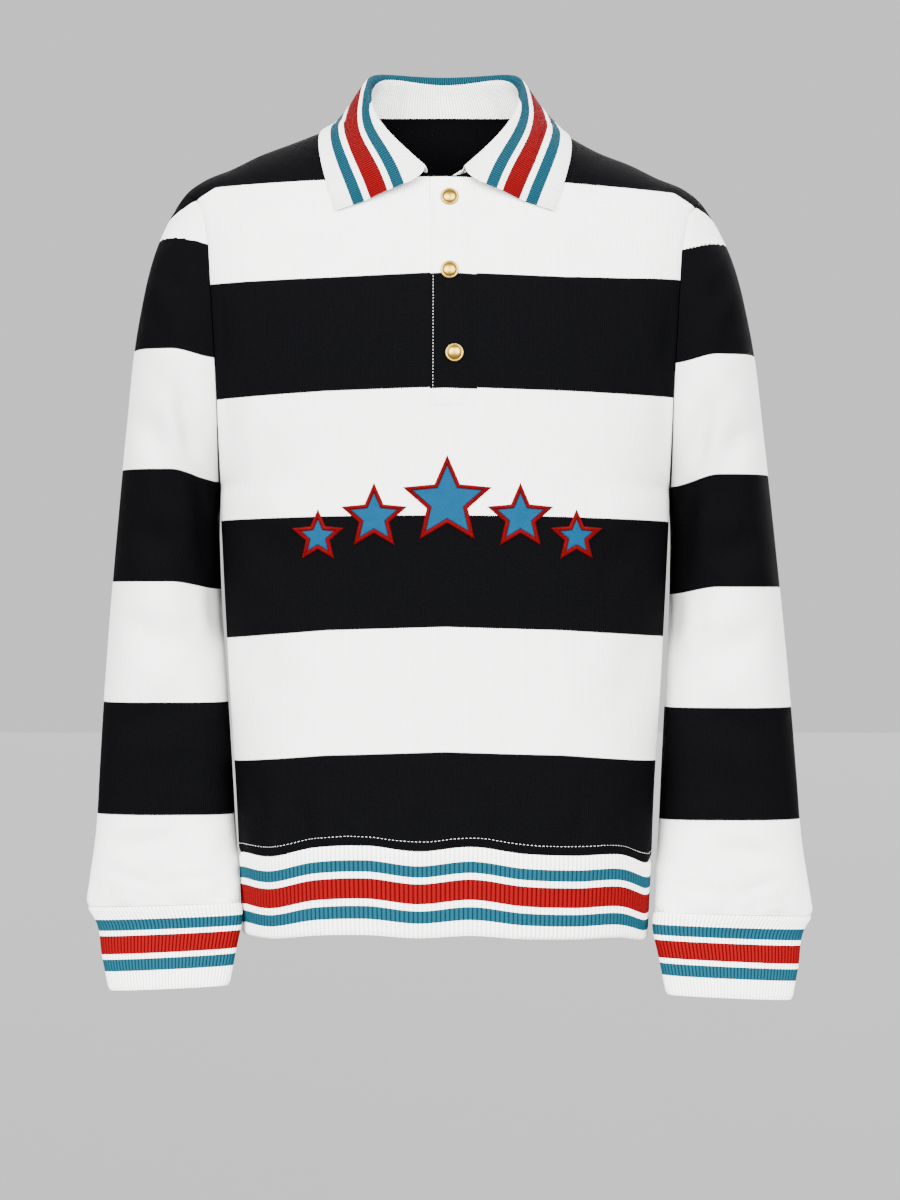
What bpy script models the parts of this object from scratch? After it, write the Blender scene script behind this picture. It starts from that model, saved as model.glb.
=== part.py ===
"""A striped long-sleeved polo shirt in the hollow form it has when worn.

The shirt is made as it is cut and sewn: a front and a back panel, two sleeves,
a knitted collar, cuffs and hem band, a placket of two strips, three snap caps
and five star patches. Each piece is one closed wall of cloth with its real
thickness. Lengths in the tables are millimetres and become metres when a mesh
is made. +Z is up, the front faces -Y, and the origin is the middle of the
shoulders, level with the neck ends of the shoulder seams.
"""

import math
from collections import namedtuple

import bpy
from mathutils import Vector
from mathutils.bvhtree import BVHTree

MM = 0.001                  # one millimetre in metres

# Cloth and seams
JERSEY = 1.6                # thickness of the striped jersey
RIB_WALL = 1.8              # thickness of the ribbed bands between two ribs
RIB_RISE = 0.8              # height of a rib above that
RIB_PITCH = 3.9             # from one rib to the next on the hem band
CUFF_RIB_PITCH = 3.6        # and on the cuffs
COLLAR_WALL = 1.6           # thickness of the flat-knit collar
SEAM_GAP = 0.3              # space between two pieces that are sewn together

# Torso
SQUARENESS = 2.6            # exponent of the body's rounded sections
NECK_SHARE = 0.385          # share of the half panel that the neck takes
NECK_EASE = 1.25            # exponent that keeps the placket straight up to the neckline
SHOULDER_DROP = 8.0         # the shoulder at +X hangs this much lower

# A level of a panel: its middle, its edge at +X, and how far round the
# body's section the edge lies, in degrees from the middle of the panel.
Level = namedtuple("Level", "mid_z mid_y edge_x edge_y edge_z turn")

FRONT_LEVELS = [
    Level(-620, -115.0, 176.5, 2, -629, 90),    # seam of the hem band
    Level(-560, -116.0, 180.0, 2, -563, 90),
    Level(-500, -118.0, 184.0, 3, -501, 90),    # waist
    Level(-440, -120.0, 187.5, 4, -440, 90),
    Level(-380, -122.0, 190.5, 4, -380, 90),
    Level(-328, -124.5, 192.7, 4, -322, 90),    # underarm
    Level(-290, -126.0, 192.6, -30, -306, 79),
    Level(-249, -127.5, 192.8, -56, -273, 69),  # foot of the placket
    Level(-205, -128.0, 194.0, -70, -228, 62),  # chest
    Level(-165, -125.0, 196.5, -73, -180, 57),
    Level(-130, -119.0, 199.0, -70, -138, 53),
    Level(-100, -111.5, 201.5, -62.5, -104, 50),
    Level(-80, -104.5, 205.0, -53, -86, 50),
    Level(-68, -100.5, 209.5, -43, -74, 52),
]
BACK_LEVELS = [
    Level(-629, 105.0, 176.5, 2, -629, 90),
    Level(-563, 99.0, 180.0, 2, -563, 90),
    Level(-501, 93.0, 184.0, 3, -501, 90),
    Level(-440, 90.0, 187.5, 4, -440, 90),
    Level(-380, 93.0, 190.5, 4, -380, 90),
    Level(-326, 100.0, 192.7, 4, -322, 90),
    Level(-290, 105.0, 192.6, 40, -306, 79),
    Level(-250, 109.0, 193.0, 64, -273, 69),
    Level(-205, 111.5, 194.5, 78, -228, 62),    # shoulder blades
    Level(-160, 112.0, 197.0, 83, -180, 57),
    Level(-120, 109.0, 200.0, 80, -138, 53),
    Level(-85, 101.0, 203.0, 72, -104, 50),
    Level(-55, 89.0, 206.0, 61, -86, 50),
    Level(-30, 77.0, 210.0, 50, -75, 52),
]
UNDERARM = 5                # index of the level at the underarm
PLACKET_FOOT = 7            # index of the level at the foot of the placket
LAST_LEVEL = len(FRONT_LEVELS) - 1

# Points of the seams on the +X half; the -X half mirrors them.
SHOULDER_SEAM = [(78, 3, 5), (100, 3, -5.5), (125, 3, -15.5), (144, 3, -23), (164, 4, -31),
                 (186, 4, -43), (207, 5, -52), (217, 5, -58), (227, 5, -67), (235, 5, -79)]
FRONT_NECK = [(0, -98, -57), (32, -88, -47), (56, -66, -28), (72, -34, -8), (78, 3, 5)]
BACK_NECK = [(0, 62, 9), (42, 53, 8), (68, 30, 6), (78, 3, 5)]
FRONT_CAP = [(209.5, -43, -74), (216, -31, -67.5), (226, -15, -70.5), (235, 5, -79)]
BACK_CAP = [(210, 50, -75), (217, 41, -69.5), (227, 24, -71.5), (235, 5, -79)]
CAP_STEPS = 3               # rows of a panel between its last level and the shoulder seam

# Rise of the hem seam along the front, from its side at -X to its side at +X,
# and the same for the back: the band draws the cloth up in soft waves.
FRONT_HEM_WAVE = [1, 3, -1, 5, 5, -1, 3, -2, -2, 1, -6, -3]
BACK_HEM_WAVE = [1, 4, 0, 4, -2, 3, -1, 4, -3, -3]

# Grid lines across a panel, as shares of its half width.
SLIT_LEFT, SLIT_MIDDLE, SLIT_RIGHT = -0.058, 0.0345, 0.127      # the placket slit
SIDE_LINES = [0.48, 0.58, 0.68, 0.78, 0.87, 0.94, 1.0]
NECK_LINES = [-0.28, -0.17, SLIT_LEFT, SLIT_RIGHT, 0.21, 0.30]
PANEL_LINES = ([-s for s in reversed(SIDE_LINES)] + [-NECK_SHARE] + NECK_LINES
               + [NECK_SHARE] + SIDE_LINES)
HALF_STEPS = (6, 7, 8, 9)   # levels that a row half way to the next one follows

# Sleeves: rings from the shoulder to the wrist for the sleeve at -X. Each has
# an inner end beside the body, an outer end, and half its depth across them.
Ring = namedtuple("Ring", "inner outer half_depth")
SLEEVE_RINGS = [
    Ring((-194.3, 4, -334), (-250.5, 5, -118), 82),
    Ring((-194.2, 5, -352), (-264.5, 5, -182), 85),
    Ring((-193.5, 6, -376), (-273.5, 5, -262), 82),
    Ring((-192.3, 7, -407), (-281.0, 5, -340), 77),
    Ring((-190.0, 8, -447), (-287.5, 4, -415), 71),
    Ring((-186.4, 8, -500), (-293.5, 3, -496), 62),
    Ring((-183.0, 4, -553), (-297.0, 1, -558), 52),
    Ring((-179.8, -8, -603), (-299.5, -2, -610), 42),
    Ring((-176.0, -26, -645), (-303.5, -8, -648), 33),
    Ring((-174.2, -36.5, -668), (-306.0, -12.3, -673), 26.6),
]
CUFF_RINGS = [
    Ring((-174.2, -36.5, -668.2), (-306.0, -12.3, -673.2), 26.1),
    Ring((-173.2, -40, -680), (-298.0, -17, -686), 20.6),
    Ring((-178.3, -43.5, -708), (-292.5, -22, -715), 19),
    Ring((-184.0, -47.5, -738), (-286.0, -28, -744), 18),
]
SLEEVE_SQUARENESS = 2.2
RIGHT_LOW = 8.0             # the sleeve at +X hangs this much lower
RIGHT_SPREAD = 0.022        # and leans out this much more for each mm below RIGHT_START
RIGHT_START = -300
SLEEVE_CLEARANCE = 1.0      # least space between a sleeve and the body
SLEEVE_DEEPEST = 8.0        # most that a sleeve's ring is moved to keep it

# Deep fold down the inner front of each sleeve
Fold = namedtuple("Fold", "z x depth half_width")
SLEEVE_FOLD = [
    Fold(-190, -232, 0, 24),
    Fold(-235, -226, 5, 24),
    Fold(-300, -215, 13, 25),
    Fold(-395, -203, 17, 26),
    Fold(-450, -199, 12, 26),
    Fold(-520, -197, 0, 26),
]

# Hem band
BAND_HEIGHT = 70.0
BAND_DRAW_IN = 3.5          # how much each side is drawn in at the foot of the band
BAND_SPANS = 2              # rows of faces down a ribbed band

# Collar: stations from the middle of the back round to the front end at +X,
# at shares of half the neckline. Each gives the two sides of the fold, the
# middle of the fall and its outer edge.
Station = namedtuple("Station", "share fold_in fold_out fall edge")
COLLAR_STATIONS = [
    Station(0.00, (0, 57, 41), (0, 62, 41), (0, 69, 18), (0, 81, -5)),
    Station(0.21, (38, 49, 42), (42, 54, 42), (48, 61, 20), (56, 73, -3)),
    Station(0.33, (60, 30, 41), (66, 33, 41), (75, 39, 19), (87, 46, -3)),
    Station(0.425, (65, 5, 28), (72, 6, 29), (87, 3, 12), (107, -1, -8)),
    Station(0.50, (63, -14, 14), (70, -16, 15), (88, -25, -3), (110, -36, -25)),
    Station(0.60, (57, -40, -3), (63, -43, -3), (84, -56, -22), (107, -67, -45)),
    Station(0.74, (44, -65, -21), (49, -69, -21), (73, -81, -42), (100, -86, -64)),
    Station(0.88, (27, -87, -41), (30, -92.5, -41), (58, -98, -58), (93, -95, -80)),
    Station(1.00, (15, -97, -50), (18, -102.5, -51), (53, -107, -70), (90, -97, -87)),
]
NECK_GAP = 0.6              # space between the collar and the neckline
COLLAR_INSET = 0.06         # share of its first span that the end at -X stands off the placket
COLLAR_LAY = 3.2            # from the cloth below to the middle of the collar's wall
COLLAR_DEEPEST = 20.0       # most that the fall is raised to lie on the cloth
COLLAR_SPAN = 12.0          # distance between sections along the collar's outer edge
FALL_STEPS = (0.34, 0.67, 1.0)                  # grid lines on each half of the fall

# Placket, snaps and patches
PLACKET_RAISE = 1.4         # how far the upper strip stands above the front
PLACKET_LOW = 0.3           # share of its top row that the upper strip stays below the neckline
UNDER_OUTER, UNDER_INNER = 2.4, 4.0             # depths of the under strip's two faces
UNDER_REACH = 0.04          # how far the under strip passes the slit, in panel shares
SNAP_RADIUS = 8.0
SNAP_SIDES = 24
SNAP_PROFILE = [(8.0, 0.0), (8.0, 1.0), (6.6, 2.0), (3.6, 2.5)]
SNAP_LIFT = 0.6
SNAP_PLACES = {"snap_top": (4, -73), "snap_middle": (4, -135.5), "snap_bottom": (8, -205)}
Star = namedtuple("Star", "x z radius")
STARS = [Star(-106, -358, 23), Star(-59, -342, 29), Star(2, -329, 39), Star(63, -342, 29),
         Star(110, -358, 23)]
STAR_INNER = 0.46           # inner radius of a star as a share of its outer one
STAR_LIFT = 0.9             # underside of a patch above the cloth
STAR_THICKNESS = 1.2

COLOURS = {
    "jersey": ((0.85, 0.85, 0.83, 1), 0.9, 0.0),
    "rib_knit": ((0.80, 0.80, 0.78, 1), 0.9, 0.0),
    "felt": ((0.03, 0.24, 0.37, 1), 0.95, 0.0),
    "brass": ((0.72, 0.56, 0.24, 1), 0.3, 1.0),
}


# --- Curves -------------------------------------------------------------------

def smooth_step(value):
    """0 below 0, 1 above 1, and a smooth rise between."""
    value = max(0.0, min(1.0, value))
    return value * value * (3 - 2 * value)


class Path:
    """A smooth curve through points; whole numbers give the points themselves."""

    def __init__(self, points):
        self.points = [Vector(p) for p in points]
        self.slopes = []
        last = len(self.points) - 1
        for i in range(last + 1):
            before = self.points[i] - self.points[max(i - 1, 0)]
            after = self.points[min(i + 1, last)] - self.points[i]
            if 0 < i < last:
                slope = before.normalized() * after.length + after.normalized() * before.length
                slope /= before.length + after.length
            else:
                slope = (before + after).normalized()
            self.slopes.append(slope)

    def at(self, place):
        i = min(int(place), len(self.points) - 2)
        f = place - i
        start, end = self.points[i], self.points[i + 1]
        reach = (end - start).length
        return (start * (2 * f**3 - 3 * f**2 + 1) + end * (3 * f**2 - 2 * f**3)
                + self.slopes[i] * reach * (f**3 - 2 * f**2 + f)
                + self.slopes[i + 1] * reach * (f**3 - f**2))

    def spread(self, shares, fineness=10):
        """Points at the given shares of the curve's length."""
        count = (len(self.points) - 1) * fineness
        return along([self.at(k / fineness) for k in range(count + 1)], shares)


def shares_of(points):
    """The share of a polyline's length at which each of its points lies."""
    lengths = [0.0]
    for a, b in zip(points, points[1:]):
        lengths.append(lengths[-1] + (b - a).length)
    return [length / lengths[-1] for length in lengths]


def along(points, shares):
    """Points at the given shares of a polyline's length, the shares rising from 0 to 1."""
    known = shares_of(points)
    found = []
    i = 0
    for share in shares:
        while i < len(points) - 2 and known[i + 1] < share:
            i += 1
        found.append(points[i].lerp(points[i + 1], (share - known[i]) / (known[i + 1] - known[i])))
    return found


def even_shares(count):
    return [k / count for k in range(count + 1)]


def between(value, keys, values):
    """Straight interpolation of values, numbers or vectors, given at rising keys."""
    i = 0
    while i < len(keys) - 2 and keys[i + 1] < value:
        i += 1
    share = max(0.0, min(1.0, (value - keys[i]) / (keys[i + 1] - keys[i])))
    return values[i] * (1 - share) + values[i + 1] * share


# --- Meshes -------------------------------------------------------------------

def material(name):
    colour, roughness, metallic = COLOURS[name]
    made = bpy.data.materials.new(name)
    made.use_nodes = True
    shader = made.node_tree.nodes["Principled BSDF"]
    shader.inputs["Base Color"].default_value = colour
    shader.inputs["Roughness"].default_value = roughness
    shader.inputs["Metallic"].default_value = metallic
    made.diffuse_color = colour
    return made


def add_object(name, points, faces, finish):
    """One object from the points that its faces use."""
    used = sorted({i for face in faces for i in face})
    place = {old: new for new, old in enumerate(used)}
    mesh = bpy.data.meshes.new(name)
    mesh.from_pydata([points[i] * MM for i in used], [],
                     [tuple(place[i] for i in face) for face in faces])
    mesh.shade_smooth()
    mesh.set_sharp_from_angle(angle=math.radians(50))
    mesh.materials.append(material(finish))
    piece = bpy.data.objects.new(name, mesh)
    bpy.context.scene.collection.objects.link(piece)
    return piece


def grid_faces(rows, columns, closed, skip=()):
    """Quads of a grid of points numbered row by row."""
    faces = []
    for r in range(rows - 1):
        for c in range(columns if closed else columns - 1):
            d = (c + 1) % columns
            if (r, c) not in skip:
                faces.append((r * columns + c, r * columns + d,
                              (r + 1) * columns + d, (r + 1) * columns + c))
    return faces


def border_edges(faces):
    """Directed edges of faces that no other face shares."""
    edges = {(a, b) for face in faces for a, b in zip(face, face[1:] + face[:1])}
    return [(a, b) for a, b in sorted(edges) if (b, a) not in edges]


def wall(name, outer, inner, finish, closed=False, skip=()):
    """A closed wall between two grids of points whose outer faces turn anticlockwise.

    Both sides are cut along the same diagonals, so that a twisted wall keeps
    its thickness.
    """
    rows, columns = len(outer), len(outer[0])
    points = [p for row in outer + inner for p in row]
    shift = rows * columns
    front = []
    for a, b, c, d in grid_faces(rows, columns, closed, skip):
        front += [(a, b, c), (a, c, d)]
    back = [tuple(i + shift for i in reversed(face)) for face in front]
    rim = [(b, a, a + shift, b + shift) for a, b in border_edges(front)]
    return add_object(name, points, front + back + rim, finish)


def grid_normals(grid, closed=False):
    """Unit normals of a grid, pointing to the side from which its faces turn anticlockwise."""
    rows, columns = len(grid), len(grid[0])
    normals = []
    for r in range(rows):
        line = []
        for c in range(columns):
            left = grid[r][(c - 1) % columns if closed else max(c - 1, 0)]
            right = grid[r][(c + 1) % columns if closed else min(c + 1, columns - 1)]
            below, above = grid[max(r - 1, 0)][c], grid[min(r + 1, rows - 1)][c]
            line.append((right - left).cross(above - below).normalized())
        normals.append(line)
    return normals


def moved(grid, normals, distance):
    return [[p + n * distance for p, n in zip(row, line)] for row, line in zip(grid, normals)]


def surface_of(piece):
    """A search tree over the faces of an object, in millimetres."""
    return BVHTree.FromPolygons([v.co / MM for v in piece.data.vertices],
                                [list(face.vertices) for face in piece.data.polygons])


def cloth_surface(sheets):
    """A search tree over grids of points; each comes with True where it is closed round."""
    points, faces = [], []
    for grid, closed in sheets:
        first = len(points)
        points += [p for row in grid for p in row]
        faces += [[first + i for i in face]
                  for face in grid_faces(len(grid), len(grid[0]), closed)]
    return BVHTree.FromPolygons(points, faces)


def kept_off(tree, point, distance, deepest):
    """The point, moved out where it is nearer to a surface than distance, or under it.

    A point more than deepest under the surface belongs elsewhere and stays.
    """
    spot, normal, _, _ = tree.find_nearest(point)
    away = point - spot
    height = away.dot(normal)
    if away.length > (distance if height > 0 else deepest):
        return point
    return spot + normal * distance


# --- Torso --------------------------------------------------------------------

def hang(point):
    """Lower the shoulder at +X, fading out at the neck and below the armhole."""
    share = smooth_step((point.x - 75) / 65) * smooth_step((point.z + 400) / 280)
    draw_in = 2.5 * share * smooth_step((point.x - 200) / 30)
    return point - Vector((draw_in, 0, SHOULDER_DROP * share))


def mirrored(points, end):
    """Points as vectors, on the side of the body that the sign of end gives."""
    return [Vector((p[0] if end >= 0 else -p[0], p[1], p[2])) for p in points]


def level_points(level, lines):
    """Points across a panel at one level, at shares of its half width from the middle."""
    turn = math.radians(level.turn)
    power = 2 / SQUARENESS
    far = math.cos(turn) ** power if level.turn < 90 else 0.0
    reach = level.edge_x / math.sin(turn) ** power
    depth = (level.mid_y - level.edge_y) / (1 - far)
    half = []
    for k in range(41):
        t = turn * k / 40
        x = reach * math.sin(t) ** power
        y = level.mid_y - depth + depth * max(math.cos(t), 0.0) ** power
        z = level.mid_z + (level.edge_z - level.mid_z) * (x / level.edge_x) ** 2
        half.append(Vector((x, y, z)))
    return [hang(mirrored(along(half, [abs(line)]), line)[0]) for line in lines]


def hem_rise(wave, line):
    """Rise of the hem seam at a share of the panel's half width."""
    path = Path([(10 * i, 0, rise) for i, rise in enumerate(wave)])
    return path.at((line + 1) / 2 * (len(wave) - 1)).z


def top_point(line, neck):
    """Where a grid line of a panel ends: on the shoulder seam or on the neckline."""
    size = abs(line)
    if size >= NECK_SHARE:
        seam, share = SHOULDER_SEAM, (size - NECK_SHARE) / (1 - NECK_SHARE)
    else:
        seam, share = neck, (size / NECK_SHARE) ** NECK_EASE
    return hang(Path(mirrored(seam, line)).spread([share])[0])


class Panel:
    """The form of the front or the back: a smooth surface over its levels."""

    def __init__(self, levels, neck, cap, wave):
        self.levels, self.neck, self.wave = levels, neck, wave
        self.caps = {end: [hang(p) for p in Path(mirrored(cap, end)).spread(even_shares(CAP_STEPS))]
                     for end in (-1, 1)}

    def column(self, line):
        points = [level_points(level, [line])[0] for level in self.levels]
        points[0].z += hem_rise(self.wave, line)
        return points + [top_point(line, self.neck)]

    def grid(self, lines, places, other):
        """Points at the given lines and places; other is the panel past the shoulder seam."""
        tail = [LAST_LEVEL, LAST_LEVEL - 1]
        edges = {end: Path(self.column(end) + [other.column(end)[i] for i in tail])
                 for end in (-1, 1)}
        columns = []
        for line in lines:
            end = 1 if line > 0 else -1
            points = self.column(line)
            if abs(line) >= NECK_SHARE:
                points += [other.column(line)[i] for i in tail]
            path = Path(points)
            column = []
            for place in places:
                point = path.at(place)
                if place > LAST_LEVEL:
                    step = round((place - LAST_LEVEL) * CAP_STEPS)
                    pull = self.caps[end][step] - edges[end].at(place)
                    point = point + pull * smooth_step(2 * abs(line) - 1)
                column.append(point)
            columns.append(column)
        return [list(row) for row in zip(*columns)]


def panel_places(first=0):
    """Places of a panel's rows, from a level up to its top edge."""
    places = []
    for level in range(first, LAST_LEVEL + 1):
        places.append(level)
        if level in HALF_STEPS:
            places.append(level + 0.5)
    return places + [LAST_LEVEL + (k + 1) / CAP_STEPS for k in range(CAP_STEPS)]


PLACES = panel_places()
UNDERARM_ROW = PLACES.index(UNDERARM)
FOOT_ROW = PLACES.index(PLACKET_FOOT)
TOP_ROW = len(PLACES) - 1
LAST_LINE = len(PANEL_LINES) - 1


def seam_frames(panel, other, facing):
    """Normals of a panel's points, and the way out of it at its side and shoulder seams.

    Past those seams the points of the other panel count, so that both sides of
    a seam have the same normal. facing is 1 for the front and -1 for the back.
    """
    normals, ways = [], {}
    for r, row in enumerate(panel):
        line = []
        for c in range(len(row)):
            left, right = row[max(c - 1, 0)], row[min(c + 1, LAST_LINE)]
            below, above = panel[max(r - 1, 0)][c], panel[min(r + 1, TOP_ROW)][c]
            if c in (0, LAST_LINE) and r <= UNDERARM_ROW:
                past = other[r][1 if c == 0 else -2]
                left, right = (past, right) if c == 0 else (left, past)
                ways[(r, c)] = (past - row[1 if c == 0 else -2]).normalized()
            if r == TOP_ROW and abs(PANEL_LINES[c]) >= NECK_SHARE:
                above = other[TOP_ROW - 1][c]
                ways[(r, c)] = (above - below).normalized()
            normal = (right - left).cross(above - below) * facing
            if r == 0:
                normal.z = 0
            line.append(normal.normalized())
        normals.append(line)
    return normals, ways


def drawn_back(grid, ways):
    """Move the points on a seam back from it by half the seam's gap."""
    return [[p - ways[(r, c)] * (SEAM_GAP / 2) if (r, c) in ways else p
             for c, p in enumerate(row)] for r, row in enumerate(grid)]


class Armhole:
    """The seam of a sleeve: down the front from the shoulder, and up the back."""

    def __init__(self, front, back, end):
        self.column = 0 if end < 0 else LAST_LINE
        self.inside = 1 if end < 0 else -2
        self.places = [(front, r) for r in range(TOP_ROW, UNDERARM_ROW - 1, -1)]
        self.places += [(back, r) for r in range(UNDERARM_ROW + 1, TOP_ROW)]
        self.points = [panel[r][self.column] for panel, r in self.places]
        self.down = TOP_ROW - UNDERARM_ROW + 1      # points from the shoulder to the underarm

    def join(self, ring, ring_normals, frames):
        """Normals of the sleeve's edge, and the way from the body into the sleeve.

        ring is the sleeve's first row past the seam. frames holds the normals
        and ways of each panel; the panels' normals are changed to the mean of
        both sides where the cloth turns outward over the seam, so that the
        inner sides don't cross.
        """
        count = len(self.points)
        normals, ways = [], []
        for k, (panel, r) in enumerate(self.places):
            tangent = self.points[(k + 1) % count] - self.points[k - 1]
            inner_point = panel[r][self.inside]
            if k == self.down - 1:
                inner_point = panel[r - 1][self.column]
            way = ring[k] - inner_point
            way = (way - tangent * (way.dot(tangent) / tangent.length_squared)).normalized()
            panels = [panel]
            if k in (0, self.down - 1):
                panels = [front_or_back for front_or_back, _, _ in frames]
            normal = ring_normals[k]
            for cloth, body_normals, body_ways in frames:
                if not any(cloth is p for p in panels):
                    continue
                body = body_normals[r][self.column]
                if body.dot(way) < normal.dot(way):
                    normal = (body + normal).normalized()
                    body_normals[r][self.column] = normal
                known = body_ways.get((r, self.column), Vector())
                body_ways[(r, self.column)] = known + way
            normals.append(normal)
            ways.append(way)
        return normals, ways


# --- Sleeves ------------------------------------------------------------------

def placed_ring(ring, side):
    """A ring of the sleeve at -X, or its place on the longer-hanging sleeve at +X."""
    inner, outer = Vector(ring.inner), Vector(ring.outer)
    if side < 0:
        return Ring(inner, outer, ring.half_depth)
    lean = (RIGHT_START - (inner.z + outer.z) / 2) * RIGHT_SPREAD
    inner = Vector((-inner.x + max(lean, 0) / 2, inner.y, inner.z - RIGHT_LOW))
    outer = Vector((-outer.x + lean, outer.y, outer.z - RIGHT_LOW))
    return Ring(inner, outer, ring.half_depth)


def ring_across(ring):
    """The level direction across a ring, towards the front."""
    reach = ring.outer - ring.inner
    across = Vector((reach.y, -reach.x, 0)).normalized()
    return -across if across.y > 0 else across


def ring_points(ring, shares, squareness=SLEEVE_SQUARENESS):
    """Points round a ring: from its outer end by the front to the inner end, and back."""
    middle = (ring.inner + ring.outer) / 2
    reach = (ring.outer - ring.inner) / 2
    across = ring_across(ring)
    power = 2 / squareness
    halves = []
    for way in (1, -1):
        arc = []
        for k in range(49):
            t = math.pi * k / 48
            size = math.copysign(abs(math.cos(t)) ** power, math.cos(t))
            deep = max(math.sin(t), 0.0) ** power * ring.half_depth * way
            arc.append(middle + reach * size + across * deep)
        halves.append(arc)
    front = along(halves[0], shares)
    back = along(halves[1], shares)
    return front + back[-2:0:-1]


def fold_depth(point, side):
    """How far the fold on a sleeve's inner front sets a point back."""
    heights = [-f.z for f in SLEEVE_FOLD]
    place = -point.z - (RIGHT_LOW if side > 0 else 0)
    if not heights[0] < place < heights[-1]:
        return 0.0
    line = between(place, heights, [f.x for f in SLEEVE_FOLD])
    depth = between(place, heights, [f.depth for f in SLEEVE_FOLD])
    width = between(place, heights, [f.half_width for f in SLEEVE_FOLD])
    return depth * math.exp(-((abs(point.x) + line) / width) ** 2)


def sleeve_rings(side, shares, body):
    """Rows of points of a sleeve below its armhole, folded and clear of the body."""
    rows = []
    for ring in SLEEVE_RINGS:
        placed = placed_ring(ring, side)
        middle_y = (placed.inner.y + placed.outer.y) / 2
        row = []
        for point in ring_points(placed, shares):
            if point.y < middle_y:
                point = point + Vector((0, fold_depth(point, side), 0))
            row.append(kept_off(body, point, SLEEVE_CLEARANCE, SLEEVE_DEEPEST))
        rows.append(row)
    return rows


def sleeve(name, end, hole, rings, frames):
    """A sleeve from its armhole to the wrist."""
    facing = -1 if end < 0 else 1
    grid = [hole.points] + rings
    normals = [[n * facing for n in line] for line in grid_normals(grid, closed=True)]
    normals[0], ways = hole.join(rings[0], normals[0], frames)
    grid[0] = [p + way * (SEAM_GAP / 2) for p, way in zip(hole.points, ways)]
    outer, inner = grid, moved(grid, normals, -JERSEY)
    if end < 0:
        outer, inner = [row[::-1] for row in outer], [row[::-1] for row in inner]
    return wall(name, outer, inner, "jersey", closed=True)


# --- Ribbed bands -------------------------------------------------------------

def ribbed_band(name, rings, axes, finish):
    """A tube with raised ribs outside and a plain inside.

    Each ring, from the lowest up, has two points for a rib, its top and the
    valley after it, and an axis that its wall stands square to. The inside has
    a point for every second rib.
    """
    count = len(rings[0])
    middle = [[(row[(c + 1) % count] - row[c - 1]).cross(axis).normalized() for c in range(count)]
              for row, axis in zip(rings, axes)]
    outer = []
    for row, line in zip(rings, middle):
        outer.append([p + n * (RIB_RISE if c % 2 == 0 else 0)
                      for c, (p, n) in enumerate(zip(row, line))])
    inner = [[p - n * RIB_WALL for p, n in zip(row[::4], line[::4])]
             for row, line in zip(rings, middle)]
    points = [p for row in outer for p in row]
    shift = len(points)
    points += [p for row in inner for p in row]
    faces = grid_faces(len(rings), count, True)
    faces += [tuple(i + shift for i in reversed(face))
              for face in grid_faces(len(rings), count // 4, True)]
    for r, turned in ((0, False), (len(rings) - 1, True)):
        for c in range(count // 4):
            near = [r * count + (4 * c + k) % count for k in range(5)]
            far = shift + r * (count // 4) + c
            next_far = shift + r * (count // 4) + (c + 1) % (count // 4)
            rim = [(near[k + 1], near[k], far) for k in range(2)]
            rim += [(near[k + 1], near[k], next_far) for k in range(2, 4)]
            rim.append((near[2], far, next_far))
            faces += [face[::-1] if turned else face for face in rim]
    return add_object(name, points, faces, finish)


def rib_points(length, pitch):
    """Even number of points for ribs of about the pitch, a multiple of four."""
    return 4 * round(length / (2 * pitch))


def closed_length(points):
    return sum((b - a).length for a, b in zip(points, points[1:] + points[:1]))


def hem_ring(front_count, back_count):
    """The seam between body and hem band, from the side at -X by the front."""
    ring = []
    for levels, wave, count, way in ((FRONT_LEVELS, FRONT_HEM_WAVE, front_count, 1),
                                     (BACK_LEVELS, BACK_HEM_WAVE, back_count, -1)):
        rises = [hem_rise(wave, line) for line in PANEL_LINES]
        drops = [level_points(levels[0], [line])[0].z for line in PANEL_LINES]
        edge = [drop + rise for drop, rise in zip(drops, rises)]
        for k in range(count):
            line = (2 * k / count - 1) * way
            point = level_points(levels[0], [line])[0]
            point.z = between(line, PANEL_LINES, edge)
            ring.append(point)
    return ring


def hem_rings():
    """Rings of the hem band from its foot up, two points for each rib."""
    plain = hem_ring(40, 40)
    half = rib_points(closed_length(plain), RIB_PITCH) // 2
    top = hem_ring(half, half)
    foot_z = sum(p.z for p in top) / len(top) - BAND_HEIGHT
    level = [Vector((p.x, p.y, 0)) for p in top]
    out = grid_normals([level, [p + Vector((0, 0, 1)) for p in level]], closed=True)[0]
    rings = []
    for share in reversed(even_shares(BAND_SPANS)):
        row = []
        for p, n in zip(top, out):
            z = p.z - SEAM_GAP - BAND_HEIGHT * share
            z += (foot_z - z) * 0.5 * share ** 4
            row.append(Vector((p.x, p.y, z)) - n * BAND_DRAW_IN * share)
        rings.append(row)
    return rings


def hem_band(rings):
    return ribbed_band("hem_band", rings, [Vector((0, 0, 1))] * len(rings), "rib_knit")


def cuff(name, side):
    placed = [placed_ring(ring, side) for ring in CUFF_RINGS]
    length = closed_length(ring_points(placed[0], even_shares(24)))
    shares = even_shares(rib_points(length, CUFF_RIB_PITCH) // 2)
    rings, axes = [], []
    for ring in reversed(placed):
        row = ring_points(ring, shares)
        if ring is placed[0]:
            row = [p - Vector((0, 0, SEAM_GAP)) for p in row]
        rings.append(row[::-1] if side > 0 else row)
        axis = (ring.outer - ring.inner).cross(ring_across(ring))
        axes.append(axis if axis.z > 0 else -axis)
    return ribbed_band(name, rings, axes, "rib_knit")


# --- Collar -------------------------------------------------------------------

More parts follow.
